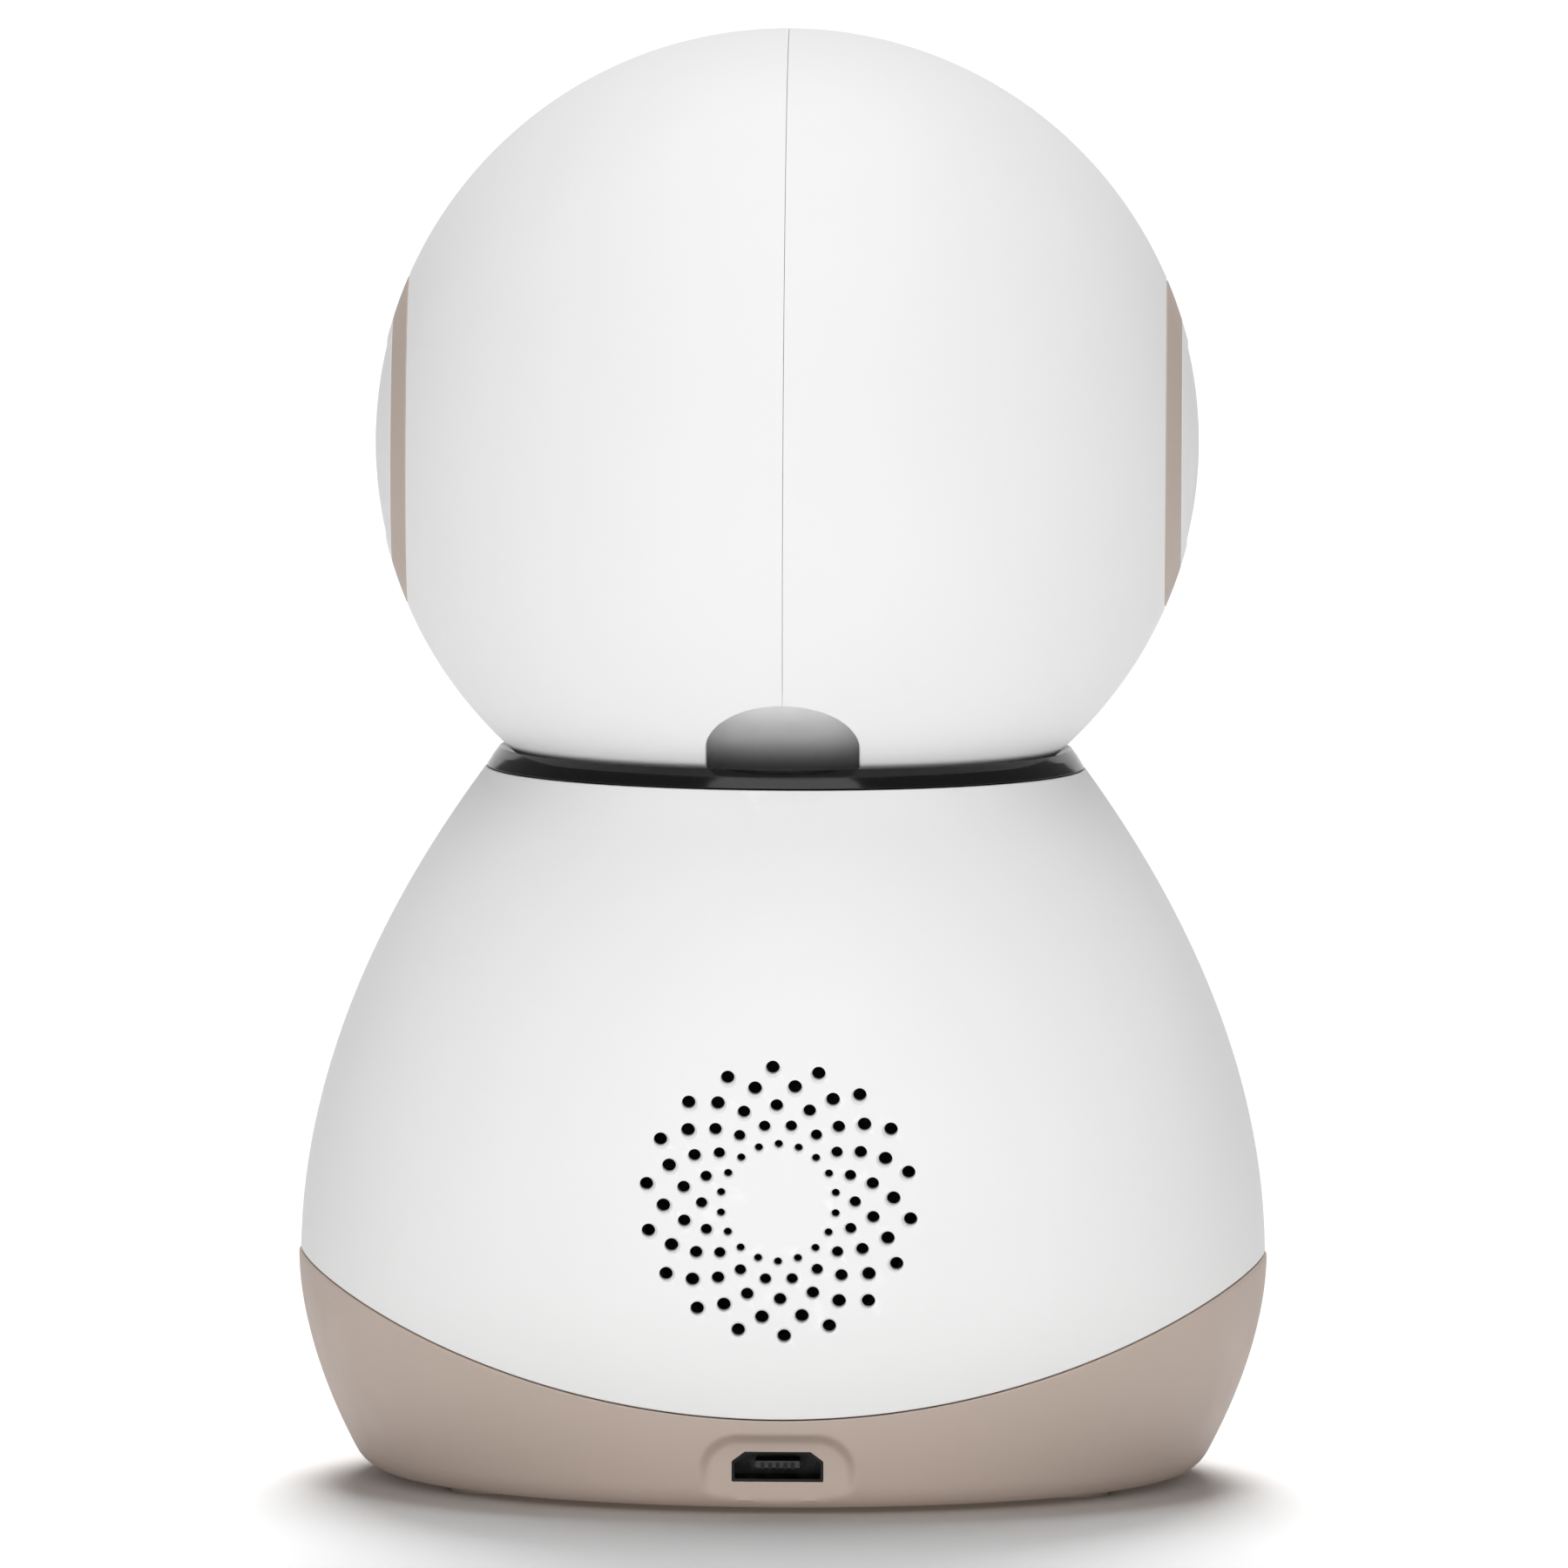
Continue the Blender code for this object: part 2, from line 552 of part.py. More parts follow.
def build_turntable(pan_pivot):
    inner_top = math.degrees(math.acos((BALL_Z - DISH_TOP_Z) / DISH_IN_R))
    outer_top = math.degrees(math.acos((BALL_Z - DISH_TOP_Z) / DISH_OUT_R))
    flange_r = HUB_R + 3.0
    dish = arc(DISH_IN_R, angle_at(HUB_BORE_R, DISH_IN_R), inner_top, 4)
    dish += arc(DISH_OUT_R, outer_top, angle_at(flange_r, DISH_OUT_R), 3)
    profile = [(HUB_BORE_R, HUB_BOTTOM_Z)]
    profile += [(radius, BALL_Z - height) for radius, height in dish]
    profile += [(flange_r, PLATE_Z[1] + 0.4), (HUB_R, PLATE_Z[1] + 0.4)]
    groove_r = HUB_R - 0.8
    profile += [(HUB_R, 40.7), (groove_r, 40.7), (groove_r, 39.5), (HUB_R, 39.5)]
    profile.append((HUB_R, HUB_BOTTOM_Z))
    place("turntable", revolve(profile, 28), "dark_plastic", pan_pivot)

    rim_low = math.degrees(math.acos((BALL_Z - DISH_TOP_Z - GAP) / DISH_IN_R))
    rim_high = math.degrees(math.acos((BALL_Z - COLLAR_TOP_Z) / DISH_IN_R))
    rim = [(radius, BALL_Z - height) for radius, height in arc(DISH_IN_R, rim_low, rim_high, 2)]
    skirt_r = REBATE_R - 0.4
    rim.append((COLLAR_OUT_R, BODY_TOP_Z + GAP))
    rim += [(skirt_r, BODY_TOP_Z + GAP), (skirt_r, DISH_TOP_Z + GAP)]
    place("neck_collar", revolve(rim), "gloss_black", pan_pivot)

    teeth = prism(tooth_outline(GEAR_TEETH, 0.0), *GEAR_Z)
    gear = place("pan_gear", teeth, "natural_plastic", pan_pivot)
    combine(gear, cylinder(HUB_R + GAP, GEAR_Z[0] - 1, GEAR_Z[1] + 1, 24), "DIFFERENCE")
    clip_angles = steps(30.0, 330.0, 20)
    clip = [polar(HUB_R + 2.0, angle) for angle in clip_angles]
    clip += [polar(HUB_R - 0.5, angle) for angle in clip_angles[::-1]]
    place("hub_clip", prism(clip, 39.8, 40.4), "steel", pan_pivot)


def build_yoke(pan_pivot):
    """One moulding: the plug in the hub, the stem, the boss on the tilt axis and the shield."""
    centre = (0, 0, BALL_Z)
    plug_r = HUB_BORE_R - GAP
    plug_low, plug_high = 42.0 - BALL_Z, 53.2 - BALL_Z
    stem = [(0, plug_low), (plug_r, plug_low), (plug_r, plug_high)]
    stem += [(STEM_R, plug_high), (STEM_R, 0), (0, 0)]
    yoke = place("tilt_yoke", revolve(stem, 24), "satin_grey", pan_pivot, centre)
    combine(yoke, cylinder(TILT_BOSS_R, -TILT_BOSS_X, TILT_BOSS_X, 24, ALONG_X), "UNION", centre)
    edge = math.degrees(math.asin(SHIELD_HALF_WIDTH / SHIELD_OUT_R))
    section = arc(SHIELD_OUT_R, 90 - edge, 90 + edge, 4)
    section += arc(SHIELD_IN_R, 90 + edge, 90 - edge, 4)
    combine(yoke, swept(section, SHIELD_FRONT, SHIELD_BACK, 14), "UNION", centre)
    pin_bore = cylinder(TILT_SHAFT_R + GAP, -10.0, -2.7, 12, ALONG_X)
    screw_bore = cylinder(1.8, -50.0, -39.0, 10)
    combine(yoke, gathered([pin_bore, screw_bore]), "DIFFERENCE", centre)
    shape = screw_shape(7.4, (HUB_BOTTOM_Z - 2.0, HUB_BOTTOM_Z - GAP), 1.5, 50.0)
    place("yoke_screw", shape, "steel", pan_pivot)
    motor = cylinder(TILT_MOTOR_R, TILT_BOSS_X + GAP, TILT_MOTOR_END_X, 24, ALONG_X)
    place("tilt_motor", motor, "steel", pan_pivot, centre)
    pin = cylinder(TILT_SHAFT_R, -31.8, -3.0, 12, ALONG_X)
    place("pivot_pin", pin, "steel", pan_pivot, centre)


# Head pieces


def block_positions():
    """Where the chassis screws go, as (side, x, z)."""
    x, z = polar(CHASSIS_SCREW_R, CHASSIS_SCREW_ANGLE)
    return [(side, side * x, up * z) for side in (-1, 1) for up in (-1, 1)]


def build_head_shell(name, side, tilt_pivot):
    seam_out = math.degrees(math.acos(GAP / 2 / BALL_R))
    seam_in = math.degrees(math.acos(GAP / 2 / BALL_IN_R))
    profile = arc(BALL_R, seam_out, angle_at(EAR_HOLE_R, BALL_R), 6)
    profile += arc(BALL_IN_R, angle_at(EAR_HOLE_R, BALL_IN_R), seam_in, 5)
    profile = [(radius, side * x) for radius, x in profile]
    shell = place(name, revolve(profile, SEGMENTS, ALONG_X), "white_plastic", tilt_pivot)
    centre = (0, 0, 0)
    blocks = []
    for turn in (CHASSIS_SCREW_ANGLE, -CHASSIS_SCREW_ANGLE):
        angle = turn if side > 0 else 180.0 - turn
        block = box(7.3, 2.8, 7.0, CHASSIS_DEPTH - GAP, at=(25.5, 0, 0))
        spin = Matrix.Rotation(math.radians(angle), 3, "Z")
        bmesh.ops.rotate(block, matrix=spin, verts=block.verts)
        blocks.append(settle(block, ALONG_FRONT, (0, 0, 0)))
    combine(shell, gathered(blocks), "UNION", centre)
    slot = round_ended_slot(SLOT_HALF_WIDTH, SLOT_FRONT, SLOT_BACK)
    holes = [wrapped(slot, 28.0, 40.0)]
    holes.append(cylinder(FACE_R, 20.0, 40.0, SEGMENTS, ALONG_FRONT))
    for block_side, x, z in block_positions():
        if block_side == side:
            holes.append(cylinder(1.2, 8.0, 20.0, 8, ALONG_FRONT, (x, 0, z)))
    for hole in holes:
        combine(shell, hole, "DIFFERENCE", centre)


def build_ear(suffix, side, tilt_pivot):
    ring_r = EAR_HOLE_R - GAP
    bore_r = TILT_SHAFT_R + GAP
    ring = [(bore_r, 27.0), (bore_r, EAR_FLOOR_X), (EAR_CAP_R, EAR_FLOOR_X)]
    ring += arc(BALL_R, angle_at(EAR_CAP_R, BALL_R), angle_at(ring_r, BALL_R), 1)
    ring += [(ring_r, 30.9), (4.5, 30.9), (4.5, 27.0)]
    ring = [(radius, side * x) for radius, x in ring]
    place(f"ear_ring_{suffix}", revolve(ring, 24, ALONG_X), "taupe_plastic", tilt_pivot)
    cap_r = EAR_CAP_R - GAP
    cap = [(0, EAR_FLOOR_X + GAP), (cap_r, EAR_FLOOR_X + GAP)]
    cap += arc(BALL_R, angle_at(cap_r, BALL_R), 0.0, 2)
    cap = [(radius, side * x) for radius, x in cap]
    place(f"ear_cap_{suffix}", revolve(cap, 24, ALONG_X), "white_plastic", tilt_pivot)


def build_chassis(tilt_pivot):
    front = CHASSIS_DEPTH + CHASSIS_THICK
    plate = cylinder(CHASSIS_R, CHASSIS_DEPTH, front, 28, ALONG_FRONT)
    chassis = place("head_chassis", plate, "dark_plastic", tilt_pivot)
    post_top = IR_BOARD_DEPTH - GAP
    posts = []
    for x in (-14.2, 14.2):
        for z in (-5.0, 5.0):
            posts.append(cylinder(1.6, front - 1.0, post_top, 10, ALONG_FRONT, (x, 0, z)))
    combine(chassis, gathered(posts), "UNION")
    holes = []
    for number, (_, x, z) in enumerate(block_positions(), 1):
        holes.append(cylinder(1.4, 10.0, 20.0, 10, ALONG_FRONT, (x, 0, z)))
        shape = screw_shape(2.2, (-front - 1.8, -front - GAP), 0.9, -8.6, ALONG_BACK)
        place(f"chassis_screw_{number}", shape, "steel", tilt_pivot, (x, 0, z))
    combine(chassis, gathered(holes), "DIFFERENCE")


def build_camera_module(tilt_pivot):
    front = CHASSIS_DEPTH + CHASSIS_THICK
    board = box(11.0, 11.0, front + GAP, front + 1.9, ALONG_FRONT)
    place("camera_board", board, "circuit_board", tilt_pivot)
    sensor = box(3.5, 3.5, front + 2.2, front + 3.4, ALONG_FRONT)
    place("image_sensor", sensor, "chip", tilt_pivot)
    barrel = [(0, 24.0), (6.0, 24.0), (6.0, 18.2), (LENS_R, 18.2), (LENS_R, 35.8)]
    barrel += [(LENS_R - 0.4, 36.2), (7.6, 36.2), (4.8, 33.2), (4.8, 30.0), (0, 30.0)]
    place("lens_barrel", revolve(barrel, 24, ALONG_FRONT), "dark_plastic", tilt_pivot)
    glass = [(0, 30.3), (4.5, 30.3), (4.5, 32.2), (3.2, 32.9), (1.7, 33.3), (0, 33.4)]
    place("lens_glass", revolve(glass, 24, ALONG_FRONT), "glass", tilt_pivot)
    bore_r = LENS_R + 0.4
    ring = [(bore_r, 33.6), (LENS_RING_R, 33.6), (LENS_RING_R, 35.0)]
    ring += [(LENS_RING_R - 0.5, 35.5), (bore_r, 35.5)]
    place("lens_ring", revolve(ring, 24, ALONG_FRONT), "steel", tilt_pivot)


def build_face(tilt_pivot):
    """The dark window of the face, and what looks out through it round the lens."""
    hole_r = LENS_RING_R + GAP
    rim_r = FACE_R - GAP
    panel_in_r = BALL_R - FACE_WALL
    panel = arc(BALL_R, angle_at(rim_r, BALL_R), angle_at(hole_r, BALL_R), 3)
    panel += arc(panel_in_r, angle_at(hole_r, panel_in_r), angle_at(rim_r, panel_in_r), 3)
    place("face_panel", revolve(panel, SEGMENTS, ALONG_FRONT), "gloss_black", tilt_pivot)
    back, front = IR_BOARD_DEPTH, IR_BOARD_DEPTH + 1.2
    board = [(LENS_R + 0.8, back), (18.5, back), (18.5, front), (LENS_R + 0.8, front)]
    place("ir_board", revolve(board, 24, ALONG_FRONT), "circuit_board", tilt_pivot)
    seat = front + GAP
    led = [(0, seat), (1.8, seat), (1.8, seat + 0.6), (1.5, seat + 0.6)]
    led += [(1.5, seat + 2.1), (0, seat + 3.2)]
    angles = (IR_LED_ANGLE, 180.0 - IR_LED_ANGLE, 180.0 + IR_LED_ANGLE, 360.0 - IR_LED_ANGLE)
    for number, angle in enumerate(angles, 1):
        x, z = polar(IR_LED_CIRCLE_R, angle)
        shape = revolve(led, 10, ALONG_FRONT)
        place(f"ir_led_{number}", shape, "led", tilt_pivot, (x, 0, z))
    sensor = cylinder(1.2, seat, seat + 2.5, 12, ALONG_FRONT)
    place("light_sensor", sensor, "led", tilt_pivot, (0, 0, IR_LED_CIRCLE_R))


def build_head(tilt_pivot):
    for suffix, side in (("left", -1), ("right", 1)):
        build_head_shell(f"head_shell_{suffix}", side, tilt_pivot)
        build_ear(suffix, side, tilt_pivot)
    shaft = cylinder(TILT_SHAFT_R, TILT_MOTOR_END_X + GAP, 31.8, 12, ALONG_X)
    place("tilt_shaft", shaft, "steel", tilt_pivot)
    build_chassis(tilt_pivot)
    build_camera_module(tilt_pivot)
    build_face(tilt_pivot)


def main():
    clear_scene()
    pan_pivot = pivot("pan_pivot", (0, 0, 0))
    pinion_pivot = pivot("pinion_pivot", (0, -CENTRE_DISTANCE, 0))
    tilt_pivot = pivot("tilt_pivot", (0, 0, BALL_Z), pan_pivot)
    build_body_shell()
    build_base_tub()
    build_feet_and_screws()
    build_electronics()
    build_speaker()
    build_pan_drive(pinion_pivot)
    build_turntable(pan_pivot)
    build_yoke(pan_pivot)
    build_head(tilt_pivot)


main()
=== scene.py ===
import json
import math

import bmesh
import bpy
from mathutils import Matrix, Vector


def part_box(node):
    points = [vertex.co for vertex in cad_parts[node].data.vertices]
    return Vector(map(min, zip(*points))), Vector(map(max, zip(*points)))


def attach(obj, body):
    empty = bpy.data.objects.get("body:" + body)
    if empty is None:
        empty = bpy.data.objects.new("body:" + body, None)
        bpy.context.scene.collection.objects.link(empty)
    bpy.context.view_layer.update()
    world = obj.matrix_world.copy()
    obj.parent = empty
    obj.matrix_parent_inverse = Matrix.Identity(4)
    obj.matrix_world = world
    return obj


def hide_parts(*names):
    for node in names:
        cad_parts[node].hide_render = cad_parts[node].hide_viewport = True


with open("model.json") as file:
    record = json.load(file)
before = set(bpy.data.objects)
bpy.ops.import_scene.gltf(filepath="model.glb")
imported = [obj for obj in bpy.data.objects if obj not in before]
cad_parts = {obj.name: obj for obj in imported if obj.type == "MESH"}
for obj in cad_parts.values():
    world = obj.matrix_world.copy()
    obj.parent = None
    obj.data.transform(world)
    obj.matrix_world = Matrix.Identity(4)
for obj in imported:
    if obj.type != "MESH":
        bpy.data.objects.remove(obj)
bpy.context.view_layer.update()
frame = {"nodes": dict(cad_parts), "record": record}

# Sizes in this file are millimetres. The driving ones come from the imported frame.

MM = 0.001


def box_mm(node):
    low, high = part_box(node)
    return [value / MM for value in low], [value / MM for value in high]


JOINTS = {joint["name"]: joint for joint in frame["record"]["behaviour"]["joints"]}
BALL_Z = JOINTS["tilt"]["pos_m"][2] / MM
BALL_R = box_mm("head_shell_left")[1][2] - BALL_Z
CENTRE = (0, 0, BALL_Z)
HEAD_WALL = 2.0
BALL_IN_R = BALL_R - HEAD_WALL
SEAM_GAP = 0.03
GAP = 0.3
EDGE = 0.18  # rounding of moulded edges

EAR_HOLE_R = 14.25
EAR_CAP_R = 10.6
EAR_FLOOR_X = 33.0
FACE_R = 24.5
FACE_WALL = 1.7

SLOT_HALF_WIDTH = 6.6
SLOT_END_LENGTH = 5.9
SLOT_BACK = 144.3
SLOT_FRONT = 66.3
SLOT_LAYERS = (  # height above the ball's surface, and how far the outline has grown there
    (-9.0, 0.0),
    (-0.35, 0.0),
    (-0.15, 0.03),
    (-0.04, 0.10),
    (0.0, 0.2),
    (1.5, 1.7),
)
SHIELD_OUT_R = BALL_IN_R - 0.6
SHIELD_IN_R = SHIELD_OUT_R - 1.5
SHIELD_HALF_WIDTH = 9.0
SHIELD_FRONT = 29.5
SHIELD_BACK = 158.8
STEM_R = 5.4

BODY_TOP_Z = box_mm("body_shell")[1][2]
WIDEST_R = box_mm("body_shell")[1][0]
WIDEST_Z = 19.2
TOP_DRAW_IN = 15.9
FOOT_DRAW_IN = 4.7
FOOT_DRAW_IN_DROP = 16.3
WALL = 2.0
FLOOR_Z = box_mm("base_tub")[0][2]
CORNER_Z = 2.4
FLOOR_HOLE_R = 2.0  # the loft leaves the middle of the floor open, and a disc fills it
TUB_PROUD = 0.15
PARTING_R = 85.0
PARTING_LOW_Z = 8.5
PARTING_GAP = 0.12
REBATE_R = 25.3
REBATE_Z = 60.0

DISH_IN_R = BALL_R + 0.5
COLLAR_OUT_R = box_mm("neck_collar")[1][0]
COLLAR_BOTTOM_Z = box_mm("neck_collar")[0][2]
COLLAR_TOP_Z = box_mm("neck_collar")[1][2]

GRILLE_Z = 27.4
HOLES_PER_RING = 18
GRILLE_RINGS = ((5.0, 0.70), (6.6, 0.98), (8.25, 1.08), (9.9, 1.18), (11.45, 1.16))
GRILLE_TWIST = 0.7
GRILLE_CUT_FROM_Y = 33.0
POCKET_R = 13.9
POCKET_WALL = 1.3
POCKET_FROM_Y = 31.0
POCKET_TO_Y = 34.3
STATUS_LIGHT_Z = 24.0
MICROPHONE_Z = 16.0

SOCKET_Z = 4.2
SOCKET_HALF_WIDTH = 3.95
SOCKET_HALF_HEIGHT = 1.33
SOCKET_CHAMFER_X = 1.1
SOCKET_CHAMFER_Z = 0.85
SOCKET_FRONT_Y = 36.4
SOCKET_BACK_Y = 31.3
SOCKET_WALL = 0.18
CONTACT_COUNT = 5
CONTACT_PITCH = 0.65
CLEAR_OF_WALL_Y = 40.0
SCOOP_Y = 36.8
SCOOP_LEAN = 0.25  # how far out the flat comes for each millimetre up
SCOOP_HALF_WIDTH = 6.4
SCOOP_TOP_Z = 6.75
SCOOP_CORNER_R = 3.0
SCOOP_SOFTNESS = 0.55

FOOT_POSITIONS = [(x, y) for x in (-24.4, 24.4) for y in (-16.6, 16.6)]
FOOT_R = 4.2
BUTTON_Y = -20.0
BUTTON_R = 2.5

LENS_R = 8.6
LENS_RING_R = 10.4
FINE = 192  # steps round a large turned piece
SHARP_ANGLE = 40.0  # edges that turn by more than this are shaded hard

ALONG_Z = Matrix.Identity(3)
ALONG_X = Matrix(((0, 0, 1), (1, 0, 0), (0, 1, 0)))
ALONG_FRONT = Matrix(((1, 0, 0), (0, 0, -1), (0, 1, 0)))
ALONG_BACK = Matrix(((1, 0, 0), (0, 0, 1), (0, -1, 0)))


# ---------------------------------------------------------------- outlines


def polar(radius, degrees):
    angle = math.radians(degrees)
    return radius * math.cos(angle), radius * math.sin(angle)


def steps(low, high, count):
    return [low + (high - low) * i / count for i in range(count + 1)]


def arc(radius, start, end, count):
    """Points (radius from the axis, height, no rounding) on a sphere. Angles from the axis."""
    points = []
    for angle in steps(start, end, count):
        height, out = polar(radius, angle)
        points.append((out, height, 0.0))
    return points


def angle_at(radius_from_axis, sphere_radius):
    return math.degrees(math.asin(radius_from_axis / sphere_radius))


def rounded(points, count=4):
    """Replace each corner (a, b, radius) that has a radius by an arc."""
    outline = []
    for k, (a, b, radius) in enumerate(points):
        corner = Vector((a, b))
        if radius <= 0:
            outline.append((a, b))
            continue
        before = Vector(points[k - 1][:2]) - corner
        after = Vector(points[(k + 1) % len(points)][:2]) - corner
        half = before.angle(after) / 2
        reach = min(radius / math.tan(half), 0.45 * before.length, 0.45 * after.length)
        radius = reach * math.tan(half)
        middle = (before.normalized() + after.normalized()).normalized()
        centre = corner + middle * (radius / math.sin(half))
        start = corner + before.normalized() * reach - centre
        end = corner + after.normalized() * reach - centre
        turn = start.angle_signed(end)
        for i in range(count + 1):
            spoke = start.copy()
            spoke.rotate(Matrix.Rotation(-turn * i / count, 2))
            outline.append(tuple(centre + spoke))
    return outline


# ------------------------------------------------------------------ meshes


def settle(bm, along=ALONG_Z, at=(0, 0, 0)):
    bmesh.ops.transform(bm, matrix=along.to_4x4(), verts=bm.verts)
    bmesh.ops.translate(bm, vec=at, verts=bm.verts)
    bmesh.ops.recalc_face_normals(bm, faces=bm.faces)
    return bm


def loft(loops, closed=True):
    """Skin a row of closed loops that have the same number of points."""
    bm = bmesh.new()
    rings = [[bm.verts.new(point) for point in loop] for loop in loops]
    following = rings[1:] + rings[:1] if closed else rings[1:]
    for ring, after in zip(rings, following):
        for k in range(len(ring)):
            n = (k + 1) % len(ring)
            bm.faces.new((ring[k], ring[n], after[n], after[k]))
    if not closed:
        bm.faces.new(rings[0])
        bm.faces.new(rings[-1])
    return bm


def lathe(points, along=ALONG_Z, at=(0, 0, 0), segments=96, count=4):
    """Turn a closed outline of (radius, height, rounding) points about an axis."""
    profile = rounded(points, count)
    bm = bmesh.new()
    rings = []
    for radius, height in profile:
        if radius < 1e-6:
            rings.append([bm.verts.new((0, 0, height))])
            continue
        turns = [polar(radius, 360 * k / segments) for k in range(segments)]
        rings.append([bm.verts.new((x, y, height)) for x, y in turns])
    for ring, following in zip(rings, rings[1:] + rings[:1]):
        for k in range(segments):
            corners = [ring[k % len(ring)], ring[(k + 1) % len(ring)]]
            corners += [following[(k + 1) % len(following)], following[k % len(following)]]
            corners = list(dict.fromkeys(corners))
            if len(corners) > 2:
                bm.faces.new(corners)
    return settle(bm, along, at)


def prism(outline, low, high, along=ALONG_Z, at=(0, 0, 0)):
    loops = [[(x, y, z) for x, y in outline] for z in (low, high)]
    return settle(loft(loops, closed=False), along, at)


def cylinder(radius, low, high, segments=32, along=ALONG_Z, at=(0, 0, 0)):
    outline = [polar(radius, 360 * (k + 0.5) / segments) for k in range(segments)]
    return prism(outline, low, high, along, at)


def gathered(shapes):
    whole = bmesh.new()
    for shape in shapes:
        copies = {vert: whole.verts.new(vert.co) for vert in shape.verts}
        for face in shape.faces:
            whole.faces.new([copies[vert] for vert in face.verts])
        shape.free()
    bmesh.ops.recalc_face_normals(whole, faces=whole.faces)
    return whole


def make_object(name, bm):
    mesh = bpy.data.meshes.new(name)
    bmesh.ops.scale(bm, vec=(MM, MM, MM), verts=bm.verts)
    bm.to_mesh(mesh)
    bm.free()
    mesh.shade_smooth()
    mesh.set_sharp_from_angle(angle=math.radians(SHARP_ANGLE))
    obj = bpy.data.objects.new(name, mesh)
    bpy.context.scene.collection.objects.link(obj)
    return obj


def combine(obj, bm, operation="DIFFERENCE", sharp_angle=SHARP_ANGLE):
    """Add or cut a shape at once, so that no helper stays in the scene."""
    helper = make_object(obj.name + "_tool", bm)
    modifier = obj.modifiers.new("tool", "BOOLEAN")
    modifier.operation = operation
    modifier.solver = "EXACT"
    modifier.object = helper
    graph = bpy.context.evaluated_depsgraph_get()
    mesh = bpy.data.meshes.new_from_object(obj.evaluated_get(graph))
    obj.modifiers.clear()
    obj.data = mesh
    mesh.shade_smooth()
    mesh.set_sharp_from_angle(angle=math.radians(sharp_angle))
    bpy.data.objects.remove(helper, do_unlink=True)


def true_normals(obj, normal_at):
    """Give faces on a known surface its exact normals. normal_at returns None off the surface."""
    mesh = obj.data
    exact = [normal_at(vert.co / MM) for vert in mesh.vertices]
    normals = [Vector(corner.vector) for corner in mesh.corner_normals]
    for face in mesh.polygons:
        if any(exact[index] is None for index in face.vertices):
            continue
        for loop in face.loop_indices:
            normals[loop] = exact[mesh.loops[loop].vertex_index]
    mesh.normals_split_custom_set(normals)


def finish_piece(obj, material, body, slot_name, *nodes):
    obj.data.materials.clear()
    obj.data.materials.append(material)
    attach(obj, body)
    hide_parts(*nodes)


# --------------------------------------------------------------- materials


class Shader:
    """Small helper that wires nodes into one Principled material."""

    def __init__(self, name, colour, roughness, metallic=0.0, **sockets):
        self.material = bpy.data.materials.new(name)
        self.material.use_nodes = True
        self.tree = self.material.node_tree
        self.shader = self.tree.nodes["Principled BSDF"]
        self.colour = colour
        self.shader.inputs["Base Color"].default_value = (*colour, 1.0)
        self.shader.inputs["Roughness"].default_value = roughness
        self.shader.inputs["Metallic"].default_value = metallic
        for socket, value in sockets.items():
            self.shader.inputs[socket.replace("_", " ")].default_value = value
        self.place = self.tree.nodes.new("ShaderNodeTexCoord").outputs["Object"]
        self.height = None

    def node(self, kind, **values):
        node = self.tree.nodes.new(kind)
        for key, value in values.items():
            setattr(node, key, value)
        return node

    def link(self, source, target):
        self.tree.links.new(source, target)

    def stretched(self, scale):
        """Object coordinates scaled differently along each axis."""
        mapping = self.node("ShaderNodeMapping")
        mapping.inputs["Scale"].default_value = scale
        self.link(self.place, mapping.inputs["Vector"])
        return mapping.outputs["Vector"]

    def noise(self, size_mm, detail=3.0, vector=None, roughness=0.55):
        node = self.node("ShaderNodeTexNoise")
        node.inputs["Scale"].default_value = 1.0 / (size_mm * MM)
        node.inputs["Detail"].default_value = detail
        node.inputs["Roughness"].default_value = roughness
        self.link(vector or self.place, node.inputs["Vector"])
        return node.outputs["Fac"]

    def cells(self, size_mm):
        node = self.node("ShaderNodeTexVoronoi")
        node.inputs["Scale"].default_value = 1.0 / (size_mm * MM)
        self.link(self.place, node.inputs["Vector"])
        return node.outputs["Distance"]

    def spread(self, source, low, high, out_low, out_high):
        """Map a value from one range to another."""
        node = self.node("ShaderNodeMapRange")
        limits = {"From Min": low, "From Max": high, "To Min": out_low, "To Max": out_high}
        for socket, value in limits.items():
            node.inputs[socket].default_value = value
        self.link(source, node.inputs["Value"])
        return node.outputs["Result"]

    def tint(self, factor, colour):
        """Mix the base colour towards another colour by a factor."""
        node = self.node("ShaderNodeMix", data_type="RGBA")
        socket = self.shader.inputs["Base Color"]
        first, second = node.inputs[6], node.inputs[7]  # A and B, the colour ones
        first.default_value = (*self.colour, 1.0)
        second.default_value = (*colour, 1.0)
        if socket.links:
            self.link(socket.links[0].from_socket, first)
        self.link(factor, node.inputs["Factor"])
        self.link(node.outputs[2], socket)  # the colour result

    def vary_roughness(self, source, low, high):
        self.link(self.spread(source, 0.3, 0.7, low, high), self.shader.inputs["Roughness"])

    def bump(self, source, depth_mm, strength=1.0):
        node = self.node("ShaderNodeBump")
        node.inputs["Strength"].default_value = strength
        node.inputs["Distance"].default_value = depth_mm * MM
        self.link(source, node.inputs["Height"])
        if self.height:
            self.link(self.height, node.inputs["Normal"])
        self.height = node.outputs["Normal"]
        self.link(self.height, self.shader.inputs["Normal"])

    def worn_edges(self, colour, amount):
        """Lighten or darken the rounded edges, where a hand rubs, through fine noise."""
        edge = self.node("ShaderNodeNewGeometry").outputs["Pointiness"]
        worn = self.spread(edge, 0.53, 0.62, 0.0, amount)
        patchy = self.node("ShaderNodeMath", operation="MULTIPLY")
        self.link(worn, patchy.inputs[0])
        self.link(self.spread(self.noise(1.5), 0.4, 0.65, 0.0, 1.0), patchy.inputs[1])
        self.tint(patchy.outputs[0], colour)


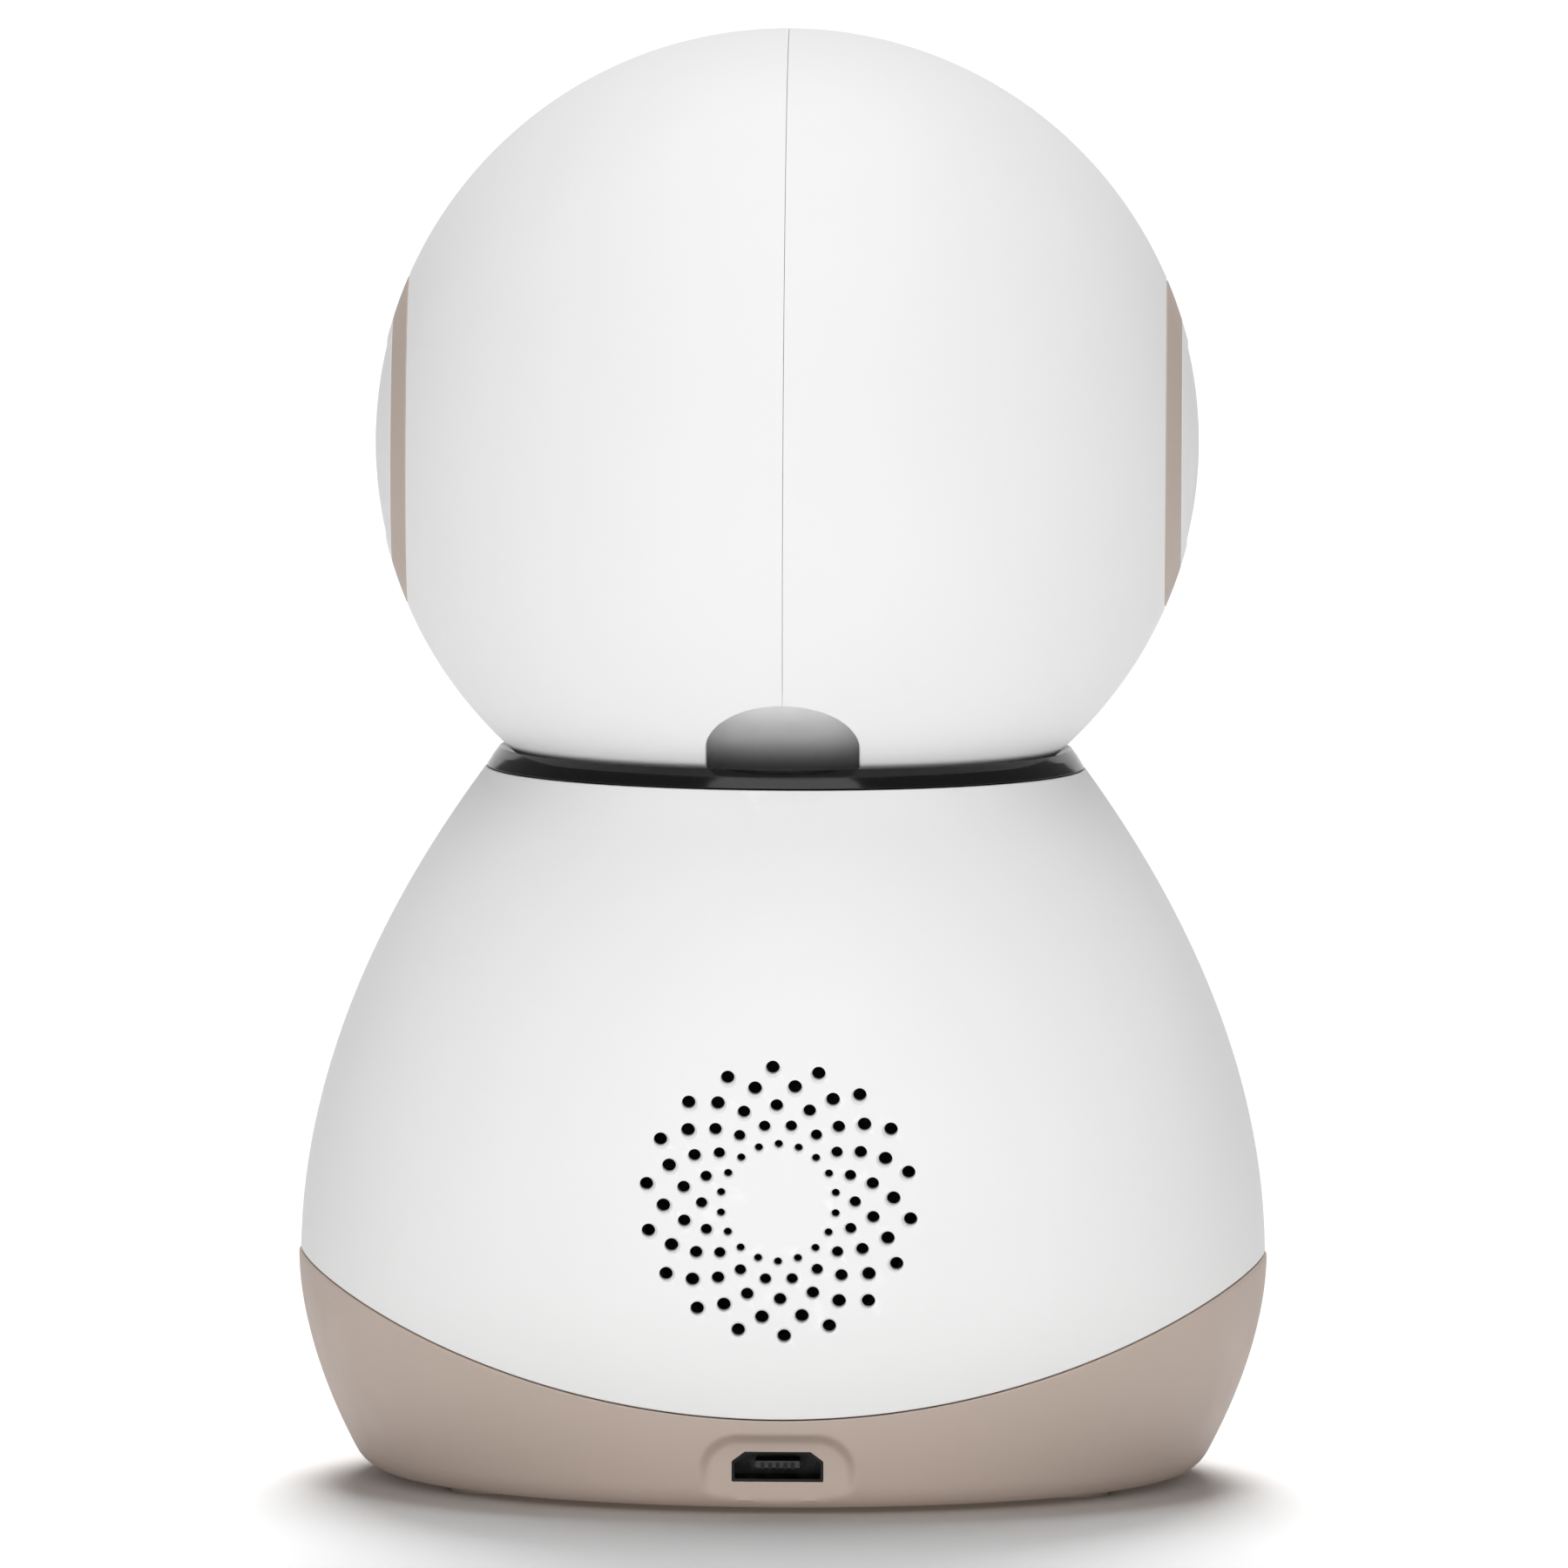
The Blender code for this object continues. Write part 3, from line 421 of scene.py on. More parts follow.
def moulded_plastic(name, colour, shade, roughness):
    """Matte moulded plastic: spark-eroded grain, cloudy tone, a little dust and rubbed edges."""
    s = Shader(name, colour, roughness, Specular_IOR_Level=0.25)
    s.tint(s.spread(s.noise(22.0, 4.0), 0.35, 0.7, 0.0, 0.5), shade)
    s.tint(s.spread(s.noise(0.9, 5.0), 0.62, 0.75, 0.0, 0.25), shade)
    s.vary_roughness(s.noise(5.0, 5.0), roughness - 0.05, roughness + 0.07)
    s.worn_edges([min(1.0, value * 1.12) for value in colour], 0.5)
    s.bump(s.noise(9.0, 2.0), 0.012, 0.5)
    s.bump(s.noise(0.16, 2.0), 0.004)
    return s.material


def gloss_plastic(name, colour, roughness=0.10):
    """Polished dark plastic with smears, dust and faint moulding ripples."""
    s = Shader(name, colour, roughness, Specular_IOR_Level=0.34)
    s.tint(s.spread(s.noise(0.5, 4.0), 0.68, 0.78, 0.0, 0.05), (0.35, 0.34, 0.33))
    smears = s.noise(2.5, 6.0, s.stretched((1.0, 2.0, 1.5)), 0.6)
    s.vary_roughness(smears, roughness * 0.8, roughness * 1.6)
    s.bump(s.noise(14.0, 1.0), 0.02, 0.3)
    return s.material


def satin_shield(name):
    """Smooth silver-grey shield behind the slot, finely blasted."""
    s = Shader(name, (0.86, 0.86, 0.87), 0.40, 0.45)
    s.tint(s.spread(s.noise(9.0, 3.0), 0.35, 0.7, 0.0, 0.35), (0.81, 0.81, 0.82))
    s.vary_roughness(s.noise(1.2, 5.0), 0.36, 0.46)
    s.bump(s.noise(0.10, 2.0), 0.0006, 0.5)
    return s.material


def dark_satin(name, colour=(0.022, 0.022, 0.024), roughness=0.38):
    s = Shader(name, colour, roughness)
    s.tint(s.spread(s.noise(3.0, 5.0), 0.4, 0.75, 0.0, 0.4), [value * 2.2 for value in colour])
    s.vary_roughness(s.noise(1.0, 4.0), roughness - 0.08, roughness + 0.12)
    s.bump(s.noise(0.14, 2.0), 0.004)
    s.worn_edges([value * 4 for value in colour], 0.4)
    return s.material


def rubber(name):
    s = Shader(name, (0.30, 0.25, 0.22), 0.82)
    s.tint(s.spread(s.noise(0.8, 5.0), 0.5, 0.75, 0.0, 0.5), (0.24, 0.20, 0.175))
    s.vary_roughness(s.noise(0.5, 4.0), 0.72, 0.92)
    s.bump(s.cells(0.35), 0.02, 0.7)
    return s.material


def brushed_metal(name, colour, roughness, stretch=(1.0, 1.0, 18.0)):
    s = Shader(name, colour, roughness, 1.0, Anisotropic=0.4)
    grain = s.noise(0.25, 5.0, s.stretched(stretch), 0.65)
    s.tint(s.spread(grain, 0.35, 0.7, 0.0, 0.35), [value * 0.6 for value in colour])
    s.vary_roughness(s.noise(1.4, 4.0), roughness - 0.06, roughness + 0.14)
    s.bump(grain, 0.003, 0.6)
    s.tint(s.spread(s.noise(2.5, 5.0), 0.6, 0.8, 0.0, 0.3), (0.22, 0.20, 0.18))
    return s.material


def circuit_board(name):
    """Green solder mask over copper tracks, with a woven bump."""
    s = Shader(name, (0.012, 0.12, 0.05), 0.35, Coat_Weight=0.3, Coat_Roughness=0.2)
    tracks = s.node("ShaderNodeTexBrick", offset=0.5)
    tracks.inputs["Scale"].default_value = 420.0
    tracks.inputs["Mortar Size"].default_value = 0.06
    s.link(s.place, tracks.inputs["Vector"])
    s.tint(s.spread(tracks.outputs["Fac"], 0.0, 1.0, 0.0, 0.55), (0.03, 0.25, 0.10))
    s.tint(s.spread(s.cells(1.6), 0.0, 0.16, 1.0, 0.0), (0.55, 0.50, 0.35))
    s.vary_roughness(s.noise(0.8, 4.0), 0.28, 0.45)
    s.bump(tracks.outputs["Fac"], 0.02, 0.6)
    return s.material


def chip_epoxy(name):
    s = Shader(name, (0.015, 0.015, 0.016), 0.45)
    s.tint(s.spread(s.noise(0.3, 5.0), 0.5, 0.75, 0.0, 0.6), (0.05, 0.05, 0.052))
    s.vary_roughness(s.noise(0.6, 4.0), 0.38, 0.6)
    s.bump(s.noise(0.08, 3.0), 0.006)
    return s.material


def acetal(name):
    s = Shader(name, (0.68, 0.66, 0.58), 0.42, Subsurface_Weight=0.1)
    s.tint(s.spread(s.noise(6.0, 4.0), 0.35, 0.7, 0.0, 0.6), (0.60, 0.57, 0.48))
    s.vary_roughness(s.noise(1.5, 4.0), 0.34, 0.5)
    s.bump(s.noise(0.3, 3.0), 0.006)
    return s.material


def speaker_paper(name):
    s = Shader(name, (0.02, 0.02, 0.02), 0.8)
    fibres = s.noise(0.5, 6.0, s.stretched((1.0, 1.0, 4.0)), 0.7)
    s.tint(s.spread(fibres, 0.4, 0.7, 0.0, 0.7), (0.07, 0.068, 0.065))
    s.vary_roughness(s.noise(0.8), 0.7, 0.95)
    s.bump(fibres, 0.03)
    return s.material


def clear_epoxy(name):
    s = Shader(name, (0.75, 0.78, 0.85), 0.08, Transmission_Weight=0.6, IOR=1.5)
    s.tint(s.spread(s.noise(0.6, 4.0), 0.45, 0.7, 0.0, 0.35), (0.55, 0.58, 0.66))
    s.vary_roughness(s.noise(0.7, 4.0), 0.05, 0.16)
    s.bump(s.noise(0.5, 2.0), 0.004, 0.5)
    return s.material


def coated_glass(name):
    """Dark lens glass with a faint violet-green coating that shows at a slant."""
    s = Shader(name, (0.012, 0.014, 0.03), 0.03, Coat_Weight=1.0, Coat_Roughness=0.02, IOR=1.6)
    slant = s.node("ShaderNodeLayerWeight")
    slant.inputs["Blend"].default_value = 0.35
    s.tint(s.spread(slant.outputs["Facing"], 0.1, 0.8, 0.0, 0.5), (0.10, 0.03, 0.16))
    s.tint(s.spread(s.noise(3.0, 2.0), 0.45, 0.7, 0.0, 0.25), (0.01, 0.08, 0.06))
    s.vary_roughness(s.noise(1.2, 5.0), 0.02, 0.06)
    return s.material


WHITE = moulded_plastic("white_moulded", (0.815, 0.815, 0.813), (0.795, 0.795, 0.792), 0.48)
TAUPE = moulded_plastic("taupe_moulded", (0.505, 0.415, 0.361), (0.48, 0.395, 0.343), 0.50)
BLACK = gloss_plastic("black_polished", (0.005, 0.005, 0.0055))
SHIELD = satin_shield("grey_satin_shield")
DARK = dark_satin("dark_satin")
RUBBER = rubber("foot_rubber")
STEEL = brushed_metal("plated_steel", (0.60, 0.60, 0.62), 0.28)
# Near-black steel for the socket shell and contacts: painted shade that stands in for the shade deep
# inside the port, not the steel's own colour.
SOCKET_METAL_PAINTED_SHADE = brushed_metal("socket_metal_painted_shade", (0.022, 0.022, 0.023), 0.30, (1.0, 6.0, 1.0))
BRASS = brushed_metal("turned_brass", (0.72, 0.50, 0.22), 0.30)
BOARD = circuit_board("solder_mask")
CHIP = chip_epoxy("chip_epoxy")
ACETAL = acetal("natural_acetal")
PAPER = speaker_paper("speaker_paper")
CLEAR = clear_epoxy("clear_epoxy")
GLASS = coated_glass("lens_coating")

SLOT_MATERIALS = {
    "white_plastic": WHITE,
    "taupe_plastic": TAUPE,
    "gloss_black": BLACK,
    "dark_plastic": DARK,
    "satin_grey": SHIELD,
    "natural_plastic": ACETAL,
    "rubber": RUBBER,
    "steel": STEEL,
    "brass": BRASS,
    "circuit_board": BOARD,
    "chip": CHIP,
    "paper_cone": PAPER,
    "led": CLEAR,
    "glass": GLASS,
}


def paint_cad_nodes():
    """Every node that stays from the CAD model takes the material of its slot."""
    slot_of = {part["node"]: part["material_slot"] for part in frame["record"]["subparts"]}
    for name, obj in frame["nodes"].items():
        material = SLOT_MATERIALS[slot_of[name]]
        if not obj.material_slots:
            obj.data.materials.append(material)
        for holder in obj.material_slots:
            holder.material = material


# -------------------------------------------------------------------- base


def bell_radius(z):
    if z > WIDEST_Z:
        return WIDEST_R - TOP_DRAW_IN * ((z - WIDEST_Z) / (BODY_TOP_Z - WIDEST_Z)) ** 1.96
    return WIDEST_R - FOOT_DRAW_IN * ((WIDEST_Z - z) / FOOT_DRAW_IN_DROP) ** 1.79


def bell_slope(z):
    return (bell_radius(z + 0.05) - bell_radius(z - 0.05)) / 0.1


def parting_z(azimuth):
    """Height of the line where the white shell meets the taupe tub."""
    z = WIDEST_Z
    for _ in range(12):
        x = bell_radius(z) * math.cos(math.radians(azimuth))
        z = PARTING_LOW_Z + PARTING_R - math.sqrt(PARTING_R**2 - x**2)
    return z


def bell_normal(point):
    radius = math.hypot(point.x, point.y)
    if abs(radius - bell_radius(point.z)) > 0.004 or radius < 1.0:
        return None
    slope = bell_slope(point.z)
    return Vector((point.x / radius, point.y / radius, -slope)).normalized()


def grille_cutter():
    """Drilled holes with a slightly eased rim, set square to the wall."""
    holes = []
    for ring, (ring_r, diameter) in enumerate(GRILLE_RINGS):
        phase = (10.0 if ring % 2 == 0 else 20.0) - GRILLE_TWIST * ring
        for hole in range(HOLES_PER_RING):
            x, z = polar(ring_r, -(phase + 360.0 * hole / HOLES_PER_RING))
            z += GRILLE_Z
            surface = math.sqrt(bell_radius(z) ** 2 - x**2)
            r = diameter / 2
            rim = [(0, GRILLE_CUT_FROM_Y, 0), (r, GRILLE_CUT_FROM_Y, 0), (r, surface - 0.30, 0)]
            rim += [(r + 0.03, surface - 0.14, 0), (r + 0.12, surface - 0.02, 0)]
            rim += [(r + 0.30, surface + 0.35, 0), (0, surface + 0.35, 0)]
            holes.append(lathe(rim, ALONG_BACK, (-x, 0, z), 20))
    return gathered(holes)


def build_body_shell():
    loops = []
    for k in range(FINE):
        azimuth = 360.0 * (k + 0.5) / FINE
        low = parting_z(azimuth) + PARTING_GAP / 2
        outer = [(bell_radius(z), z, 0) for z in steps(BODY_TOP_Z, low, 44)]
        outer[0] = (*outer[0][:2], 0.25)
        outer[-1] = (*outer[-1][:2], EDGE)
        inner = [(bell_radius(z) - WALL, z, 0) for z in steps(low, REBATE_Z, 16)]
        inner += [(REBATE_R, REBATE_Z, 0), (REBATE_R, BODY_TOP_Z, 0.2)]
        out_x, out_y = polar(1.0, azimuth)
        loops.append([(r * out_x, r * out_y, z) for r, z in rounded(outer + inner)])
    shell = make_object("bell_shell", settle(loft(loops)))
    through = (34.0, 45.0)  # from inside the front wall to clear of it
    light_hole = cylinder(1.5, *through, 32, ALONG_FRONT, (0, 0, STATUS_LIGHT_Z))
    sound_hole = cylinder(0.5, *through, 20, ALONG_FRONT, (0, 0, MICROPHONE_Z))
    combine(shell, gathered([grille_cutter(), light_hole, sound_hole]))
    true_normals(shell, bell_normal)
    finish_piece(shell, WHITE, "base", "white_plastic", "body_shell")
    outer_r = POCKET_R + POCKET_WALL
    ring = [(POCKET_R, POCKET_FROM_Y, 0.2), (outer_r, POCKET_FROM_Y, 0.2)]
    ring += [(outer_r, POCKET_TO_Y, 0), (POCKET_R, POCKET_TO_Y, 0)]
    pocket = make_object("speaker_pocket", lathe(ring, ALONG_BACK, (0, 0, GRILLE_Z), 64))
    finish_piece(pocket, WHITE, "base", "white_plastic", "body_shell")


def scoop_weight(x, z):
    """1 inside the arch round the socket, 0 outside, with a soft edge."""
    side = abs(x) - (SCOOP_HALF_WIDTH - SCOOP_CORNER_R)
    top = z - (SCOOP_TOP_Z - SCOOP_CORNER_R)
    outside = math.hypot(max(side, 0.0), max(top, 0.0)) + min(max(side, top), 0.0) - SCOOP_CORNER_R
    t = min(max((SCOOP_SOFTNESS - outside) / (2 * SCOOP_SOFTNESS), 0.0), 1.0)
    return t * t * (3 - 2 * t)


def scooped(x, y, z):
    """Press a point of the tub's outside in to the flat of the scoop."""
    flat_y = SCOOP_Y + SCOOP_LEAN * (z - SOCKET_Z)
    if y < flat_y:
        return x, y, z
    return x, y - scoop_weight(x, z) * (y - flat_y), z


def tub_azimuths():
    """Even steps, with fine ones round the socket at the back, where azimuth is 90."""
    fine_half = 14.0
    coarse = steps(90.0 + fine_half, 450.0 - fine_half, 170)
    return coarse[:-1] + steps(90.0 - fine_half, 90.0 + fine_half, 96)[:-1]


def socket_outline(grow):
    half_width = SOCKET_HALF_WIDTH + grow
    half_height = SOCKET_HALF_HEIGHT + grow
    right = [(half_width, -half_height, 0.12), (half_width, half_height - SOCKET_CHAMFER_Z, 0.15)]
    right += [(half_width - SOCKET_CHAMFER_X, half_height, 0.15)]
    points = right + [(-x, z, r) for x, z, r in right[::-1]]
    return rounded(points, 3)


def rectangle(left, right, low, high, corner_r):
    corners = ((left, low), (right, low), (right, high), (left, high))
    return [(a, b, corner_r) for a, b in corners]


def along_back(outline, near_y, far_y, z=SOCKET_Z):
    return prism([(x, -height) for x, height in outline], near_y, far_y, ALONG_BACK, (0, 0, z))


def build_base_tub():
    slope = math.atan(bell_slope(CORNER_Z))
    corner_r = (CORNER_Z - FLOOR_Z) / (1 - math.sin(slope))
    corner_centre = bell_radius(CORNER_Z) - corner_r * math.cos(slope)
    loops = []
    for azimuth in tub_azimuths():
        high = parting_z(azimuth) - PARTING_GAP / 2
        outer = [(bell_radius(z) + TUB_PROUD, z, 0) for z in steps(high, CORNER_Z, 34)]
        outer[0] = (*outer[0][:2], EDGE)
        for turn in steps(math.degrees(slope), 90.0, 8)[1:]:
            x, y = polar(corner_r, turn)
            outer.append((corner_centre + TUB_PROUD + x, FLOOR_Z + corner_r - y, 0))
        outer += [(20.0, FLOOR_Z, 0), (FLOOR_HOLE_R, FLOOR_Z, 0), (FLOOR_HOLE_R, CORNER_Z, 0)]
        outer.append((bell_radius(CORNER_Z) - 3.4, CORNER_Z, 0))
        outer += [(bell_radius(z) - WALL, z, 0) for z in steps(5.0, high, 8)]
        out_x, out_y = polar(1.0, azimuth)
        loops.append([scooped(r * out_x, r * out_y, z) for r, z in rounded(outer)])
    tub = make_object("taupe_tub", settle(loft(loops)))
    combine(tub, cylinder(FLOOR_HOLE_R + 0.6, FLOOR_Z, CORNER_Z, 64), "UNION")
    cuts = [along_back(socket_outline(0.0), 30.0, CLEAR_OF_WALL_Y)]
    for x, y in FOOT_POSITIONS:
        well = [(0, -1, 0), (FOOT_R + 0.25, -1, 0), (FOOT_R + 0.25, 1.3, 0), (0, 1.3, 0)]
        cuts.append(lathe(well, at=(x, y, 0), segments=48))
    cuts.append(cylinder(BUTTON_R + 0.15, -1, 4, 48, at=(0, BUTTON_Y, 0)))
    combine(tub, gathered(cuts), sharp_angle=35.0)
    finish_piece(tub, TAUPE, "base", "taupe_plastic", "base_tub")


def build_feet():
    """Rubber pads with a shallow moulded ring in the sole."""
    for number, (x, y) in enumerate(FOOT_POSITIONS, 1):
        pad = [(0, 0, 0), (1.6, 0, 0), (1.6, 0.12, 0), (2.0, 0.12, 0), (2.0, 0, 0)]
        pad += [(FOOT_R, 0, 0.35), (FOOT_R, 1.0, 0.1), (0, 1.0, 0)]
        foot = make_object(f"rubber_foot_{number}", lathe(pad, at=(x, y, 0), segments=64))
        finish_piece(foot, RUBBER, "base", "rubber", f"foot_pad_{number}")


def build_button():
    """A dished cap, the flange that keeps it in, and the stud that meets the switch."""
    face = [(0, 1.05, 0), (1.5, 0.98, 0), (2.1, 0.9, 0.2), (BUTTON_R, 0.95, 0.15)]
    face += [(BUTTON_R, 2.7, 0), (3.6, 2.7, 0), (3.6, 3.3, 0)]
    face += [(1.2, 3.3, 0), (1.2, 4.0, 0), (0, 4.0, 0)]
    button = make_object("pairing_button", lathe(face, at=(0, BUTTON_Y, 0), segments=64))
    finish_piece(button, DARK, "button", "dark_plastic", "pair_button")


def build_socket():
    fit = -0.06
    outside = along_back(socket_outline(fit), SOCKET_BACK_Y, SOCKET_FRONT_Y)
    shell = make_object("socket_shell", outside)
    combine(shell, along_back(socket_outline(fit - SOCKET_WALL), SOCKET_BACK_Y + 0.3, CLEAR_OF_WALL_Y))
    # The shell and the contacts take the near-black steel, which is painted shade for the depth of the
    # socket.
    finish_piece(shell, SOCKET_METAL_PAINTED_SHADE, "base", "steel", "usb_shell")
    tongue_z = SOCKET_Z + 0.1
    block = rounded(rectangle(-1.9, 1.9, -0.30, 0.30, 0.1), 3)
    tongue = make_object("socket_tongue", along_back(block, 31.9, SOCKET_FRONT_Y - 0.8, tongue_z))
    finish_piece(tongue, CHIP, "base", "chip", "usb_tongue")
    strips = []
    for k in range(CONTACT_COUNT):
        x = CONTACT_PITCH * (k - CONTACT_COUNT // 2)
        strip = rounded(rectangle(x - 0.15, x + 0.15, -0.40, 0.12, 0.05), 2)
        strips.append(along_back(strip, 32.2, SOCKET_FRONT_Y - 0.7, tongue_z))
    contacts = make_object("socket_contacts", gathered(strips))
    finish_piece(contacts, SOCKET_METAL_PAINTED_SHADE, "base", "steel", "usb_tongue")


def build_collar():
    rim_low = math.degrees(math.acos((BALL_Z - COLLAR_BOTTOM_Z) / DISH_IN_R))
    rim_high = math.degrees(math.acos((BALL_Z - COLLAR_TOP_Z) / DISH_IN_R))
    rim = [(r, BALL_Z - z, 0) for r, z, _ in arc(DISH_IN_R, rim_low, rim_high, 12)]
    rim[-1] = (*rim[-1][:2], 0.12)
    skirt_r = REBATE_R - 0.4
    shelf_z = BODY_TOP_Z + 0.12
    rim += [(25.35, 62.85, 0.9), (COLLAR_OUT_R, shelf_z, 0.05)]
    rim += [(skirt_r, shelf_z, 0), (skirt_r, COLLAR_BOTTOM_Z, 0)]
    collar = make_object("neck_ring", lathe(rim, segments=FINE, count=5))
    finish_piece(collar, BLACK, "turntable", "gloss_black", "neck_collar")


# -------------------------------------------------------------------- head


def slot_outline(grow):
    """Round-ended slot as (x, tilt angle): up one side, and back down the other."""
    half_width = SLOT_HALF_WIDTH + grow
    start = SLOT_FRONT - math.degrees(grow / BALL_R)
    end = SLOT_BACK + math.degrees(grow / BALL_R)
    end_turn = math.degrees((SLOT_END_LENGTH + grow) / BALL_R)
    side = []
    for turn in steps(2.0, 90.0, 28):
        along, across = polar(1.0, turn)
        side.append((half_width * across, start + end_turn * (1 - along)))
    side += [(half_width, angle) for angle in steps(start + end_turn, end - end_turn, 40)[1:-1]]
    for turn in steps(90.0, 2.0, 28):
        along, across = polar(1.0, turn)
        side.append((half_width * across, end - end_turn * (1 - along)))
    return side + [(-x, angle) for x, angle in side[::-1]]


def slot_cutter():
    """The slot with an eased outer edge, drawn outwards from the tilt axis."""
    bm = bmesh.new()
    layers = []
    for depth, grow in SLOT_LAYERS:
        layer = []
        for x, angle in slot_outline(grow):
            radius = math.sqrt((BALL_R + depth) ** 2 - x**2)
            layer.append(bm.verts.new((x, *polar(-radius, angle))))
        layers.append(layer)
    count = len(layers[0])
    for layer in (layers[0], layers[-1]):
        for k in range(count // 2 - 1):
            bm.faces.new((layer[k], layer[k + 1], layer[count - 2 - k], layer[count - 1 - k]))
    for layer, after in zip(layers, layers[1:]):
        for k in range(count):
            n = (k + 1) % count
            bm.faces.new((layer[k], layer[n], after[n], after[k]))
    return settle(bm, at=CENTRE)


def face_cutter(radius):
    """A round opening with an eased outer edge."""
    surface = math.sqrt(BALL_R**2 - radius**2)
    rim = [(0, 18.0, 0), (radius, 18.0, 0), (radius, surface - 0.35, 0)]
    rim += [(radius + 0.03, surface - 0.15, 0), (radius + 0.12, surface - 0.02, 0)]
    rim.append((radius + 0.9, surface + 0.5, 0))
    rim += [(radius + 0.9, 40.0, 0), (0, 40.0, 0)]
    return lathe(rim, ALONG_FRONT, CENTRE, FINE)


def ball_normal(point):
    out = point - Vector(CENTRE)
    if abs(out.length - BALL_R) > 0.004:
        return None
    return out.normalized()


def build_head_shell(side, suffix):
    seam = SEAM_GAP / 2
    outer_seam = math.degrees(math.acos(seam / BALL_R))
    inner_seam = math.degrees(math.acos(seam / BALL_IN_R))
    outer = arc(BALL_R, outer_seam, angle_at(EAR_HOLE_R, BALL_R), 76)
    outer[0] = (*outer[0][:2], 0.05)
    outer[-1] = (*outer[-1][:2], 0.12)
    inner = arc(BALL_IN_R, angle_at(EAR_HOLE_R, BALL_IN_R), inner_seam, 24)
    profile = [(r, side * x, rounding) for r, x, rounding in outer + inner]
    shell = make_object(f"ball_shell_{suffix}", lathe(profile, ALONG_X, CENTRE, 256))
    combine(shell, slot_cutter())
    combine(shell, face_cutter(FACE_R))
    true_normals(shell, ball_normal)
    finish_piece(shell, WHITE, "head", "white_plastic", f"head_shell_{suffix}")


def build_ear(side, suffix):
    ring_r = EAR_HOLE_R - 0.06
    ring = [(2.3, 27.0, 0), (2.3, EAR_FLOOR_X, 0), (EAR_CAP_R, EAR_FLOOR_X, 0)]
    band = arc(BALL_R, angle_at(EAR_CAP_R, BALL_R), angle_at(ring_r, BALL_R), 12)
    band[0] = (*band[0][:2], 0.08)
    band[-1] = (*band[-1][:2], 0.08)
    ring += band + [(ring_r, 30.9, 0), (4.5, 30.9, 0), (4.5, 27.0, 0)]
    ring = [(r, side * x, rounding) for r, x, rounding in ring]
    band_piece = make_object(f"ear_band_{suffix}", lathe(ring, ALONG_X, CENTRE, 128))
    finish_piece(band_piece, TAUPE, "head", "taupe_plastic", f"ear_ring_{suffix}")

    cap_r = EAR_CAP_R - 0.05
    groove_r = cap_r - 1.7
    cap = [(0, EAR_FLOOR_X + GAP, 0), (cap_r, EAR_FLOOR_X + GAP, 0)]
    rim = arc(BALL_R, angle_at(cap_r, BALL_R), angle_at(groove_r, BALL_R), 6)
    rim[0] = (*rim[0][:2], 0.12)
    rim[-1] = (*rim[-1][:2], 0.06)
    dome = arc(BALL_R - 0.12, angle_at(groove_r - 0.1, BALL_R - 0.12), 0.0, 24)
    cap += rim + dome
    cap = [(r, side * x, rounding) for r, x, rounding in cap]
    cap_piece = make_object(f"ear_disc_{suffix}", lathe(cap, ALONG_X, CENTRE, 128))
    finish_piece(cap_piece, WHITE, "head", "white_plastic", f"ear_cap_{suffix}")


def build_yoke():
    """The stem and the curved shield that closes the slot from inside."""
    edge = angle_at(SHIELD_HALF_WIDTH, SHIELD_OUT_R)
    outer = arc(SHIELD_OUT_R, 90 - edge, 90 + edge, 24)
    inner = arc(SHIELD_IN_R, 90 + edge, 90 - edge, 24)
    outer[0] = (*outer[0][:2], 0.3)
    outer[-1] = (*outer[-1][:2], 0.3)
    section = rounded(outer + inner)
    loops = []
    for angle in steps(SHIELD_FRONT, SHIELD_BACK, 130):
        loops.append([(x, *polar(-r, angle)) for r, x in section])
    shield = make_object("slot_shield", settle(loft(loops, closed=False), at=CENTRE))
    finish_piece(shield, SHIELD, "turntable", "satin_grey", "tilt_yoke")
    low = box_mm("tilt_yoke")[0][2]
    step_z, top_z = 53.2, BALL_Z - 2.0
    stem = [(0, low, 0), (6.2, low, 0.3), (6.2, step_z, 0.2), (STEM_R, step_z, 0)]
    stem += [(STEM_R, BALL_Z - SHIELD_OUT_R + 0.2, 0), (STEM_R, top_z, 0), (0, top_z, 0)]
    column = make_object("tilt_stem", lathe(stem, segments=64))
    combine(column, cylinder(7.0, -7.2, 7.2, 64, ALONG_X, CENTRE), "UNION")
    combine(column, cylinder(2.3, -10.0, -2.7, 32, ALONG_X, CENTRE))
    finish_piece(column, SHIELD, "turntable", "satin_grey", "tilt_yoke")


